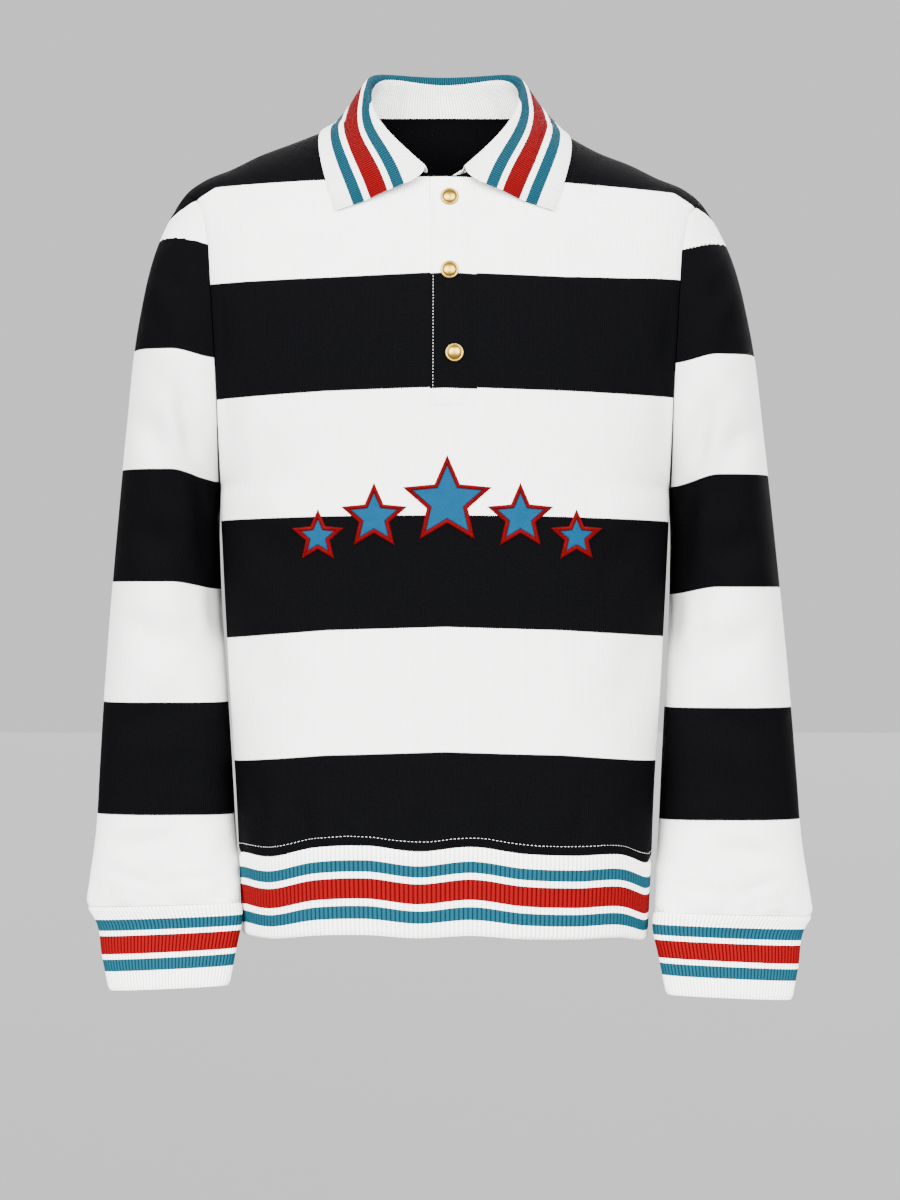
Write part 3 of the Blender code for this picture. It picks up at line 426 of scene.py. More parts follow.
class Panel:
    """The form of the front or the back."""

    def __init__(self, levels, neck, cap, wave):
        self.levels, self.neck, self.wave = levels, neck, wave
        shares = even_shares(CAP_STEPS)
        self.caps = {end: [hang(p) for p in Path(mirrored(cap, end)).spread(shares)]
                     for end in (-1, 1)}

    def column(self, line):
        points = [level_points(level, [line])[0] for level in self.levels]
        points[0].z += hem_rise(self.wave, line)
        return points + [top_point(line, self.neck)]

    def grid(self, lines, places, other):
        tail = [LAST_LEVEL, LAST_LEVEL - 1]
        edges = {end: Path(self.column(end) + [other.column(end)[i] for i in tail])
                 for end in (-1, 1)}
        columns = []
        for line in lines:
            end = 1 if line > 0 else -1
            points = self.column(line)
            if abs(line) >= NECK_SHARE:
                points += [other.column(line)[i] for i in tail]
            path = Path(points)
            column = []
            for place in places:
                point = path.at(place)
                if place > LAST_LEVEL:
                    step = round((place - LAST_LEVEL) * CAP_STEPS)
                    pull = self.caps[end][step] - edges[end].at(place)
                    point = point + pull * float(smooth_step(2 * abs(line) - 1))
                column.append(point)
            columns.append(column)
        return [list(row) for row in zip(*columns)]


def panel_places():
    places = []
    for level in range(LAST_LEVEL + 1):
        places.append(level)
        if level in HALF_STEPS:
            places.append(level + 0.5)
    return places + [LAST_LEVEL + (k + 1) / CAP_STEPS for k in range(CAP_STEPS)]


PLACES = panel_places()
UNDERARM_ROW = PLACES.index(UNDERARM)
FOOT_ROW = PLACES.index(PLACKET_FOOT)
TOP_ROW = len(PLACES) - 1
LAST_LINE = len(PANEL_LINES) - 1


def placed_ring(ring, side):
    inner, outer = Vector(ring.inner), Vector(ring.outer)
    if side < 0:
        return Ring(inner, outer, ring.half_depth)
    lean = (RIGHT_START - (inner.z + outer.z) / 2) * RIGHT_SPREAD
    inner = Vector((-inner.x + max(lean, 0) / 2, inner.y, inner.z - RIGHT_LOW))
    outer = Vector((-outer.x + lean, outer.y, outer.z - RIGHT_LOW))
    return Ring(inner, outer, ring.half_depth)


def ring_across(ring):
    reach = ring.outer - ring.inner
    across = Vector((reach.y, -reach.x, 0)).normalized()
    return -across if across.y > 0 else across


def ring_points(ring, shares):
    middle = (ring.inner + ring.outer) / 2
    reach = (ring.outer - ring.inner) / 2
    across = ring_across(ring)
    power = 2 / SLEEVE_SQUARENESS
    halves = []
    for way in (1, -1):
        arc = []
        for k in range(ARC_STEPS + 1):
            t = math.pi * k / ARC_STEPS
            size = math.copysign(abs(math.cos(t)) ** power, math.cos(t))
            deep = max(math.sin(t), 0.0) ** power * ring.half_depth * way
            arc.append(middle + reach * size + across * deep)
        halves.append(arc)
    front = along(halves[0], shares)
    back = along(halves[1], shares)
    return front + back[-2:0:-1]


def fold_depth(point, side):
    heights = [-f.z for f in SLEEVE_FOLD]
    place = -point.z - (RIGHT_LOW if side > 0 else 0)
    if not heights[0] < place < heights[-1]:
        return 0.0
    line = between(place, heights, [f.x for f in SLEEVE_FOLD])
    depth = between(place, heights, [f.depth for f in SLEEVE_FOLD])
    width = between(place, heights, [f.half_width for f in SLEEVE_FOLD])
    return depth * math.exp(-((abs(point.x) + line) / width) ** 2)


def sheet_tree(sheets):
    """A search tree over grids of points; each comes with True where it is closed round."""
    points, faces = [], []
    for grid, closed in sheets:
        first = len(points)
        points += [Vector(p) for row in grid for p in row]
        faces += [[first + i for i in face]
                  for face in grid_faces(len(grid), len(grid[0]), closed)]
    return BVHTree.FromPolygons(points, faces)


def kept_off(tree, point, distance, deepest):
    """A point that is nearer than distance, or up to deepest inside, moved out to distance."""
    spot, normal, _, _ = tree.find_nearest(point)
    away = point - spot
    height = away.dot(normal)
    if away.length > (distance if height > 0 else deepest):
        return point
    return spot + normal * distance


def sleeve_rings(side, shares, body):
    rows = []
    for ring in SLEEVE_RINGS:
        placed = placed_ring(ring, side)
        middle_y = (placed.inner.y + placed.outer.y) / 2
        row = []
        for point in ring_points(placed, shares):
            if point.y < middle_y:
                point = point + Vector((0, fold_depth(point, side), 0))
            row.append(kept_off(body, point, SLEEVE_CLEARANCE, SLEEVE_DEEPEST))
        rows.append(row)
    return rows


def hem_ring(front_count, back_count):
    ring = []
    for levels, wave, count, way in ((FRONT_LEVELS, FRONT_HEM_WAVE, front_count, 1),
                                     (BACK_LEVELS, BACK_HEM_WAVE, back_count, -1)):
        for k in range(count):
            line = (2 * k / count - 1) * way
            point = level_points(levels[0], [line])[0]
            point.z += hem_rise(wave, line)
            ring.append(point)
    return ring


def collar_section(seam, share, side):
    shares = [s.share for s in COLLAR_STATIONS]
    place = 0
    while place < len(shares) - 2 and shares[place + 1] < share:
        place += 1
    place += (share - shares[place]) / (shares[place + 1] - shares[place])
    fold_in, fold_out, fall, edge = [
        Path(mirrored([getattr(s, part) for s in COLLAR_STATIONS], side)).at(place)
        for part in ("fold_in", "fold_out", "fall", "edge")]
    crown = (fold_in + fold_out) / 2 + Vector((0, 0, (fold_out - fold_in).length / 2))
    outline = Path([seam, (seam + fold_in) / 2, fold_in, crown, fold_out, fall, edge])
    places = [0, 1, 2, 2.5, 3, 3.5, 4] + [4 + s for s in FALL_STEPS] + [5 + s for s in FALL_STEPS]
    return [outline.at(p) for p in places]


# --- Grids ------------------------------------------------------------------------

def as_array(rows):
    return np.array([[list(p) for p in row] for row in rows])


def grid_faces(rows, columns, closed, skip=()):
    faces = []
    for r in range(rows - 1):
        for c in range(columns if closed else columns - 1):
            d = (c + 1) % columns
            if (r, c) not in skip:
                faces.append((r * columns + c, r * columns + d,
                              (r + 1) * columns + d, (r + 1) * columns + c))
    return faces


def parts_of(grid, axis, step, closed=False):
    """How many parts each span of a grid is cut into along an axis."""
    points = np.moveaxis(np.asarray(grid, float), axis, 0)
    if closed:
        points = np.concatenate([points, points[:1]])
    chords = np.linalg.norm(np.diff(points, axis=0), axis=-1).max(axis=1)
    return [max(1, math.ceil(chord / step)) for chord in chords]


def refined(grid, parts, axis, closed=False):
    """Smooth curves through a grid's points along one axis, each span cut into parts."""
    points = np.moveaxis(np.asarray(grid, float), axis, 0)
    if closed:
        points = np.concatenate([points[-1:], points, points[:2]])
    spans = np.linalg.norm(np.diff(points, axis=0), axis=-1).mean(axis=1)[:, None, None]
    rates = np.diff(points, axis=0) / spans
    slopes = np.empty_like(points)
    slopes[0], slopes[-1] = rates[0], rates[-1]
    slopes[1:-1] = (rates[:-1] * spans[1:] + rates[1:] * spans[:-1]) / (spans[1:] + spans[:-1])
    first = 1 if closed else 0
    rows = []
    for i, count in enumerate(parts, first):
        for f in (k / count for k in range(count)):
            rows.append(points[i] * (2 * f**3 - 3 * f**2 + 1)
                        + points[i + 1] * (3 * f**2 - 2 * f**3)
                        + slopes[i] * spans[i] * (f**3 - 2 * f**2 + f)
                        + slopes[i + 1] * spans[i] * (f**3 - f**2))
    if not closed:
        rows.append(points[-1])
    return np.moveaxis(np.array(rows), 0, axis)


def normals_of(grid, facing, closed=False):
    """Unit normals of a grid whose columns may close round; facing turns them over."""
    if closed:
        across = np.roll(grid, -1, axis=1) - np.roll(grid, 1, axis=1)
    else:
        across = np.gradient(grid, axis=1)
    normals = np.cross(across, np.gradient(grid, axis=0)) * facing
    return normals / np.maximum(np.linalg.norm(normals, axis=-1, keepdims=True), 1e-9)


def distance_along(grid, axis):
    """Distance of each point from the grid's first line along an axis."""
    steps = np.linalg.norm(np.diff(grid, axis=axis), axis=-1)
    zero = np.zeros_like(np.take(steps, [0], axis=axis))
    return np.concatenate([zero, np.cumsum(steps, axis=axis)], axis=axis)


def creased(grid, normals, creases, side=-1):
    """How far creases raise a grid's points; they mark only the side that faces them."""
    height = np.zeros(grid.shape[:2])
    for c in creases:
        start = np.array([c.x0, c.z0], float)
        way = np.array([c.x1, c.z1], float) - start
        away = grid[..., [0, 2]] - start
        share = np.clip(away @ way / (way @ way), 0, 1)
        distance = np.linalg.norm(away - share[..., None] * way, axis=-1)
        fade = smooth_step(2.2 * share + 0.15) * smooth_step(2.2 * (1 - share) + 0.15)
        groove = np.exp(-(distance / c.width) ** 2)
        lips = np.exp(-((distance - 2.1 * c.width) / c.width) ** 2)
        height += c.depth * fade * (0.4 * lips - groove)
    return height * smooth_step(normals[..., 1] * side * 2)


def gathered(length, distance):
    """Small flutes that run out from a seam and fade away from it."""
    phase = length / FLUTTER_PITCH + 0.35 * np.sin(length / 61) + 0.25 * np.sin(length / 27)
    return FLUTTER_RISE * np.sin(2 * math.pi * phase) * np.exp(-distance / FLUTTER_REACH)


# --- Meshes -----------------------------------------------------------------------

def linked(name, data):
    """A new object in the scene."""
    made = bpy.data.objects.new(name, data)
    bpy.context.scene.collection.objects.link(made)
    return made


def piece(name, outer, inner, look, stands_for, marks, closed=False, skip=(), flip=False,
          weld=False):
    """A wall of cloth between two grids; marks are values for the shader at each point."""
    rows, columns = outer.shape[:2]
    points = np.concatenate([outer.reshape(-1, 3), inner.reshape(-1, 3)]) * MM
    shift = rows * columns
    faces = grid_faces(rows, columns, closed, skip)
    edges = {(a, b) for face in faces for a, b in zip(face, face[1:] + face[:1])}
    rim = [(b, a, a + shift, b + shift) for a, b in sorted(edges) if (b, a) not in edges]
    faces += [tuple(i + shift for i in reversed(face)) for face in faces] + rim
    if flip:
        faces = [face[::-1] for face in faces]
    mesh = bpy.data.meshes.new(name)
    mesh.from_pydata(points.tolist(), [], faces)
    for mark, values in marks.items():
        attribute = mesh.attributes.new(mark, "FLOAT", "POINT")
        values = np.broadcast_to(values, (rows, columns)).ravel()
        attribute.data.foreach_set("value", np.concatenate([values, values]).astype(np.float32))
    made = linked(name, mesh)
    tidy(made, weld)
    return finished(made, look, stands_for)


def tidy(made, weld):
    """Drop points without faces, and weld points that lie on each other."""
    shape = bmesh.new()
    shape.from_mesh(made.data)
    bmesh.ops.delete(shape, geom=[v for v in shape.verts if not v.link_faces], context="VERTS")
    if weld:
        bmesh.ops.remove_doubles(shape, verts=shape.verts, dist=1e-7)
    shape.to_mesh(made.data)
    shape.free()
    made.data.shade_smooth()
    made.data.set_sharp_from_angle(angle=math.radians(SHARP_ANGLE))


def finished(made, look, stands_for):
    """Give a piece its material, its body, and the solid that it takes the place of."""
    made.data.materials.clear()
    made.data.materials.append(look)
    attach(made, "root")
    if stands_for:
        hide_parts(stands_for)
    return made


# --- Shader maths -----------------------------------------------------------------

class Node:
    """A socket whose operators add the nodes of a material."""

    def __init__(self, tree, socket):
        self.tree, self.socket = tree, socket

    def make(self, kind, settings=None, pick=0, **sockets):
        node = self.tree.nodes.new(kind)
        for key, value in (settings or {}).items():
            setattr(node, key, value)
        for key, value in sockets.items():
            index = int(key[1:]) if key[1:].isdigit() else key.replace("_", " ")
            target = node.inputs[index]
            if isinstance(value, Node):
                self.tree.links.new(value.socket, target)
            else:
                target.default_value = value
        return Node(self.tree, node.outputs[pick])

    def maths(self, operation, *values):
        sockets = {f"i{k}": v for k, v in enumerate(values)}
        return self.make("ShaderNodeMath", {"operation": operation}, **sockets)

    def __add__(self, other):
        return self.maths("ADD", self, other)

    def __sub__(self, other):
        return self.maths("SUBTRACT", self, other)

    def __rsub__(self, other):
        return self.maths("SUBTRACT", other, self)

    def __mul__(self, other):
        return self.maths("MULTIPLY", self, other)

    def __gt__(self, other):
        return self.maths("GREATER_THAN", self, other)

    def __lt__(self, other):
        return self.maths("LESS_THAN", self, other)

    __radd__ = __add__
    __rmul__ = __mul__

    def wave(self, length):
        """0 to 1 to 0 over each length."""
        return self.maths("SINE", self * (2 * math.pi / length)) * 0.5 + 0.5

    def odd(self):
        """1 where the whole part is odd."""
        return self.maths("FLOORED_MODULO", self.maths("FLOOR", self), 2.0)

    def noise(self, where, scale, detail=2.0):
        return self.make("ShaderNodeTexNoise", Vector=where, Scale=scale, Detail=detail)

    def mix(self, share, first, second):
        """A colour between two colours."""
        node = self.tree.nodes.new("ShaderNodeMix")
        node.data_type = "RGBA"
        for key, value in ((0, share), (6, first), (7, second)):
            if isinstance(value, Node):
                self.tree.links.new(value.socket, node.inputs[key])
            elif key == 0:
                node.inputs[key].default_value = value
            else:
                node.inputs[key].default_value = (*value, 1)
        return Node(self.tree, node.outputs[2])

    def shaded(self, colour, light):
        """A colour made darker by a value from 0 to 1."""
        return self.mix(light, (0, 0, 0), colour)


def new_look(name, roughness, gloss=0.04, metallic=0.0):
    """A material's start: its shader, and a node to begin sums from."""
    look = bpy.data.materials.new(name)
    look.use_nodes = True
    shader = look.node_tree.nodes["Principled BSDF"]
    shader.inputs["Roughness"].default_value = roughness
    shader.inputs["Metallic"].default_value = metallic
    shader.inputs["Specular IOR Level"].default_value = gloss
    start = Node(look.node_tree, None)
    return look, shader, start


def attribute(start, name):
    return start.make("ShaderNodeAttribute", {"attribute_name": name}, pick=2)


def set_colour(look, shader, colour):
    look.node_tree.links.new(colour.socket, shader.inputs["Base Color"])


def set_bump(look, shader, start, height, distance, strength):
    bump = start.make("ShaderNodeBump", Strength=strength, Distance=distance, Height=height)
    look.node_tree.links.new(bump.socket, shader.inputs["Normal"])


def object_place(start):
    return start.make("ShaderNodeTexCoord", pick=3)


def jersey_look():
    """Striped jersey: fine wales up the cloth, courses across them, painted shade between both,
    and a soft nap.
    """
    look, shader, start = new_look("striped_jersey", 0.9, gloss=0.015)
    stripe, across, up = (attribute(start, n) for n in ("stripe", "across", "up"))
    place = object_place(start)
    wales = across.wave(WALE)
    courses = (up + wales * 0.4).wave(COURSE)
    knit = wales * 0.7 + courses * 0.3
    nap = start.noise(place, 900.0)
    cloud = start.noise(place, 34.0, 3.0)
    ragged = stripe + (wales - 0.5) * 0.006
    # Painted shade between the wales and courses darkens both colours; nap and cloud are the
    # cloth's own uneven tone
    black = start.shaded(BLACK, 0.55 + 0.45 * knit + 0.9 * (nap - 0.5))
    white = start.shaded(WHITE, 0.8 + 0.2 * knit + 0.1 * (cloud - 0.5))
    set_colour(look, shader, start.mix(ragged.odd(), white, black))
    set_bump(look, shader, start, knit + nap * 0.7 + cloud * 1.6, 0.0005, 1.0)
    return look


def banded(start, place, edges, light):
    """White knit with a red band between two teal ones, shaded more in the bands."""
    past = [place > edge for edge in edges]
    red = past[2] - past[3]
    band = past[0] - past[1] + red + past[4] - past[5]
    white = start.shaded(RIB_WHITE, 1 - (1 - light) * 0.6)
    return start.mix(band, white, start.shaded(start.mix(red, TEAL, RED), light))


def rib_look(name, edges, rib_light):
    """Rib knit with coloured bands; painted shade in the valleys between ribs, and plaits along
    them.
    """
    look, shader, start = new_look(name, 0.9)
    down, rib = (attribute(start, n) for n in ("down", "rib"))
    place = object_place(start)
    plait = (down + rib * 0.5).wave(RIB_PLAIT)
    nap = start.noise(place, 1100.0)
    ragged = down + (plait - 0.5) * 0.25
    # Painted shade: the valleys between ribs and between the plaits are darker; the nap is the
    # yarn's own uneven tone
    light = rib_light + (1 - rib_light) * rib + 0.12 * (plait - 0.5) + 0.2 * (nap - 0.5)
    set_colour(look, shader, banded(start, ragged, edges, light))
    set_bump(look, shader, start, plait * 0.7 + nap * 0.5, 0.0003, 0.8)
    return look


def collar_look():
    """Flat knit with fine ribs across the strip, painted shade between the ribs, and coloured
    bands along it.
    """
    look, shader, start = new_look("collar_knit", 0.9)
    down, across = (attribute(start, n) for n in ("down", "across"))
    place = object_place(start)
    ribs = across.wave(COLLAR_RIB)
    plait = down.wave(COLLAR_PLAIT)
    nap = start.noise(place, 1100.0)
    # Painted shade between the ribs and between the plaits; the nap is the yarn's own uneven tone
    light = 0.3 + 0.7 * ribs + 0.1 * (plait - 0.5) + 0.16 * (nap - 0.5)
    set_colour(look, shader, banded(start, down + (ribs - 0.5) * 0.3, COLLAR_BANDS, light))
    set_bump(look, shader, start, ribs + plait * 0.3 + nap * 0.4, 0.0006, 1.0)
    return look


def star_look():
    """Felt with a satin-stitched border, its threads square to the edge, with painted shade
    between the threads.
    """
    look, shader, start = new_look("star_felt", 0.85)
    edge, round_it = (attribute(start, n) for n in ("edge", "round"))
    place = object_place(start)
    threads = round_it.wave(SATIN_THREAD)
    fibre = start.noise(place, 700.0, 4.0)
    cloud = start.noise(place, 120.0, 3.0)
    border = edge < STAR_BORDER
    felt = start.shaded(FELT_TEAL, 0.86 + 0.3 * (fibre - 0.5) + 0.2 * (cloud - 0.5))
    # Painted shade between the satin threads
    satin = start.shaded(SATIN_RED, 0.6 + 0.4 * threads)
    set_colour(look, shader, start.mix(border, felt, satin))
    set_bump(look, shader, start, threads * border + fibre * (1 - border) * 0.8, 0.00035, 0.9)
    return look


def brass_look():
    """Polished brass with faint handling marks, and painted shade in the groove inside the rim."""
    look, shader, start = new_look("brass", 0.24, gloss=0.5, metallic=1.0)
    place = object_place(start)
    groove_light = attribute(start, "groove_light")
    marks = start.noise(place, 260.0, 4.0)
    fine = start.noise(place, 2400.0, 2.0)
    brass_tone = start.mix(marks, BRASS_PALE, BRASS_DEEP)
    # Painted shade darkens the groove between the rim and the dome
    set_colour(look, shader, start.mix(groove_light, BRASS_GROOVE_SHADE, brass_tone))
    look.node_tree.links.new((0.25 + marks * 0.16).socket, shader.inputs["Roughness"])
    set_bump(look, shader, start, fine, 0.00003, 0.4)
    return look


def thread_look():
    look, shader, start = new_look("white_thread", 0.7)
    twist = start.noise(object_place(start), 2600.0)
    set_colour(look, shader, start.shaded(THREAD_WHITE, 0.8 + 0.3 * (twist - 0.5)))
    set_bump(look, shader, start, twist, 0.0001, 0.6)
    return look


def floor_look():
    look, shader, start = new_look("pale_floor", 0.95)
    tone = start.noise(object_place(start), 3.0)
    set_colour(look, shader, start.shaded(FLOOR_GREY, 0.99 + 0.02 * tone))
    return look


# --- Striped cloth ----------------------------------------------------------------

def stripe_phase(grid, table):
    """Where each point lies among the stripes, whose edges are given across the panel."""
    edges = np.array([np.interp(grid[..., 0], STRIPE_X, row) for row in table])
    return count_edges(grid[..., 2], edges)


def count_edges(height, edges):
    """One less than the number of edges above each height, with the share of the way on."""
    above = np.concatenate([edges[:1] + 100, edges])
    phase = np.full(height.shape, -1.0)
    for k in range(len(above) - 1):
        share = (above[k] - height) / (above[k] - above[k + 1])
        phase = np.where((share >= 0), k - 1 + np.minimum(share, 1), phase)
    return phase


def sleeve_phase(grid, side):
    out = np.abs(grid[..., 0])
    drop = smooth_step((SLEEVE_DROP_X - out) / SLEEVE_DROP_SPAN)
    low = RIGHT_STRIPES_LOW if side > 0 else 0
    edges = [np.interp(out, SHOULDER_X, SHOULDER_Z) - low]
    edges += [z - low - d * drop for z, d in zip(SLEEVE_STRIPES, SLEEVE_DROPS)]
    return count_edges(grid[..., 2], np.array(edges))


def seam_groove(distance, depth=SEAM_DEPTH):
    return -depth * np.exp(-(distance / SEAM_WIDTH) ** 2)


def panel_cloth(coarse, facing, table, creases):
    """A panel cut fine: its points, normals and shader marks, and the new lines' places."""
    across_parts = parts_of(coarse, 1, CLOTH_STEP)
    slit = PANEL_LINES.index(SLIT_LEFT)
    for c in (slit, slit + 1):
        across_parts[c] = round(across_parts[c] * CLOTH_STEP / SLIT_STEP)
    up_parts = parts_of(coarse, 0, CLOTH_STEP)
    grid = refined(refined(coarse, across_parts, 1), up_parts, 0)
    normals = normals_of(grid, facing)
    columns, rows = np.cumsum([0] + across_parts), np.cumsum([0] + up_parts)
    across, up = distance_along(grid, 1), distance_along(grid, 0)
    side = np.minimum(across, across[:, -1:] - across)
    calm = smooth_step(side / 14) * smooth_step((up[-1:] - up) / 20)
    height = creased(grid, normals, creases, -facing) * calm
    height += gathered(across, up) * smooth_step(up / 6) * calm
    height += np.minimum(seam_groove(side), seam_groove(up[-1:] - up, 0.7))
    height += seam_groove(up, 1.1)
    middle = across[:, [across.shape[1] // 2]]
    marks = {"stripe": stripe_phase(grid, table), "across": across - middle, "up": up}
    return grid + normals * height[..., None], normals, marks, rows, columns


def make_panel(name, cloth, facing, look, skip=()):
    grid, normals, marks, _, _ = cloth
    return piece(name, grid, grid - normals * JERSEY, look, name, marks,
                 skip=skip, flip=facing < 0)


def make_sleeve(name, side, front, back, body, look):
    column = 0 if side < 0 else LAST_LINE
    hole = [front[r][column] for r in range(TOP_ROW, UNDERARM_ROW - 1, -1)]
    down = len(hole)
    hole += [back[r][column] for r in range(UNDERARM_ROW + 1, TOP_ROW)]
    rings = sleeve_rings(side, shares_of(hole[:down]), body)
    coarse = as_array([hole] + rings)
    way = coarse[1] - coarse[0]
    coarse[0] += way / np.linalg.norm(way, axis=-1, keepdims=True) * SEAM_GAP
    facing = -1 if side < 0 else 1
    grid = refined(coarse, parts_of(coarse, 1, CLOTH_STEP, True), 1, closed=True)
    grid = refined(grid, parts_of(coarse, 0, CLOTH_STEP), 0)
    normals = normals_of(grid, facing, closed=True)
    down_it = distance_along(grid, 0)
    round_it = distance_along(np.concatenate([grid, grid[:, :1]], axis=1), 1)
    length = round_it[:, -1:]
    round_it = round_it[:, :-1]
    plain = grid * np.array([1 if side < 0 else -1, 1, 1])
    plain[..., 2] += RIGHT_LOW if side > 0 else 0
    to_cuff = down_it[-1:] - down_it
    height = creased(plain, normals, SLEEVE_CREASES) * smooth_step(down_it / 16) \
        * smooth_step(to_cuff / 10)
    turns = 2 * math.pi * round_it / length
    broad, fine = FLUTES
    flutes = np.sin(broad * turns + 1.5 * np.sin(2 * turns)) + 0.5 * np.sin(fine * turns + 1)
    height += FLUTE_RISE * flutes * np.exp(-to_cuff / FLUTE_REACH) * smooth_step(to_cuff / 6)
    height += seam_groove(down_it) + seam_groove(to_cuff, 1.0)
    marks = {"stripe": sleeve_phase(grid, side), "across": round_it, "up": down_it}
    outer = grid + normals * height[..., None]
    return piece(name, outer, outer - normals * JERSEY, look, name, marks, closed=True,
                 flip=facing < 0)


# --- Rib knit ---------------------------------------------------------------------

def ribbed(name, rings, out, pitch, look, flip, distance):
    """A tube with round ribs; rings run down from its seam, out is the way out of its wall."""
    length = np.linalg.norm(np.roll(rings[0], -1, axis=0) - rings[0], axis=-1).sum()
    count = round(length / pitch)
    shares = np.arange(count * RIB_POINTS) / (count * RIB_POINTS)

    def evened(ring, values):
        around = np.concatenate([ring, ring[:1]])
        known = np.concatenate([[0], np.cumsum(np.linalg.norm(np.diff(around, axis=0), axis=-1))])
        closed_values = np.concatenate([values, values[:1]])
        return np.stack([np.interp(shares * known[-1], known, closed_values[:, k])
                         for k in range(3)], axis=-1)

    grid = np.array([evened(ring, ring) for ring in rings])
    ways = np.array([evened(ring, way) for ring, way in zip(rings, out)])
    ways /= np.linalg.norm(ways, axis=-1, keepdims=True)
    phase = (shares * count) % 1.0
    rise = np.sqrt(np.maximum(1 - (2 * phase - 1) ** 2, 0))
    depth = distance[:, None] * np.ones(len(shares))
    total = distance[-1]
    seam = smooth_step(distance / 3.0)[:, None]
    foot = smooth_step((total - distance) / 2.0)[:, None]
    height = (RIB_RISE + RIB_SINK) * rise[None] * (0.35 + 0.65 * seam) * (0.5 + 0.5 * foot)
    height -= RIB_SINK
    height -= 0.9 * np.exp(-(distance / 2.2) ** 2)[:, None]
    height -= 0.6 * (1 - foot)
    marks = {"down": depth, "rib": np.broadcast_to(rise, depth.shape)}
    inner = grid - ways * RIB_WALL + ways * 0.6 * (1 - foot)[..., None]
    return piece(name, grid + ways * height[..., None], inner, look, name, marks,
                 closed=True, flip=flip)


def band_steps(height):
    return np.linspace(0, height, round(height / BAND_STEP) + 1)


def make_hem_band(look):
    top = np.array([list(p) for p in hem_ring(HEM_POINTS, HEM_POINTS)])
    foot_z = top[:, 2].mean() - BAND_HEIGHT
    level = top * np.array([1, 1, 0])
    tangent = np.roll(level, -1, axis=0) - np.roll(level, 1, axis=0)
    out = np.cross(tangent, np.array([0, 0, 1.0]))
    out /= np.linalg.norm(out, axis=-1, keepdims=True)
    rings = []
    steps = band_steps(BAND_HEIGHT)
    for share in steps / BAND_HEIGHT:
        ring = top - out * BAND_DRAW_IN * share
        ring[:, 2] = top[:, 2] - SEAM_GAP - BAND_HEIGHT * share
        ring[:, 2] += (foot_z - ring[:, 2]) * 0.5 * share ** 4
        rings.append(ring)
    return ribbed("hem_band", rings, [out] * len(rings), RIB_PITCH, look, True, steps)


def make_cuff(name, side, look):
    placed = [placed_ring(ring, side) for ring in CUFF_RINGS]
    rings, outs = [], []
    for ring in placed:
        points = np.array([list(p) for p in ring_points(ring, even_shares(CUFF_POINTS))])
        if ring is placed[0]:
            points[:, 2] -= SEAM_GAP
        axis = np.array((ring.outer - ring.inner).cross(ring_across(ring)))
        tangent = np.roll(points, -1, axis=0) - np.roll(points, 1, axis=0)
        out = np.cross(tangent, axis)
        out *= np.sign(((points - points.mean(axis=0)) * out).sum())
        rings.append(points)
        outs.append(out / np.linalg.norm(out, axis=-1, keepdims=True))
    parts = parts_of(rings, 0, BAND_STEP)
    rings, outs = refined(rings, parts, 0), refined(outs, parts, 0)
    steps = distance_along(rings, 0).mean(axis=1)
    return ribbed(name, rings, outs, CUFF_RIB_PITCH, look, side < 0, steps)


# --- Collar -----------------------------------------------------------------------

def unit_rows(grid, facing):
    return normals_of(as_array(grid), facing)


def collar_seam(front, front_normals, back, back_normals):
    lines = PANEL_LINES
    left = [(front[c], front_normals[c]) for c in range(len(lines))
            if -NECK_SHARE <= lines[c] <= SLIT_LEFT][::-1]
    over = [(back[c], back_normals[c]) for c in range(len(lines))
            if -NECK_SHARE < lines[c] < NECK_SHARE and lines[c] != SLIT_MIDDLE]
    right = [(front[c], front_normals[c]) for c in range(len(lines))
             if SLIT_MIDDLE <= lines[c] <= NECK_SHARE][::-1]
    seam = left + over + right
    edges = []
    for k, (point, normal) in enumerate(seam):
        tangent = seam[min(k + 1, len(seam) - 1)][0] - seam[max(k - 1, 0)][0]
        edge = point + tangent.cross(normal).normalized() * NECK_GAP
        edges.append((edge, edge - normal * JERSEY))
    edges[0] = [a.lerp(b, COLLAR_INSET) for a, b in zip(edges[0], edges[1])]
    return edges


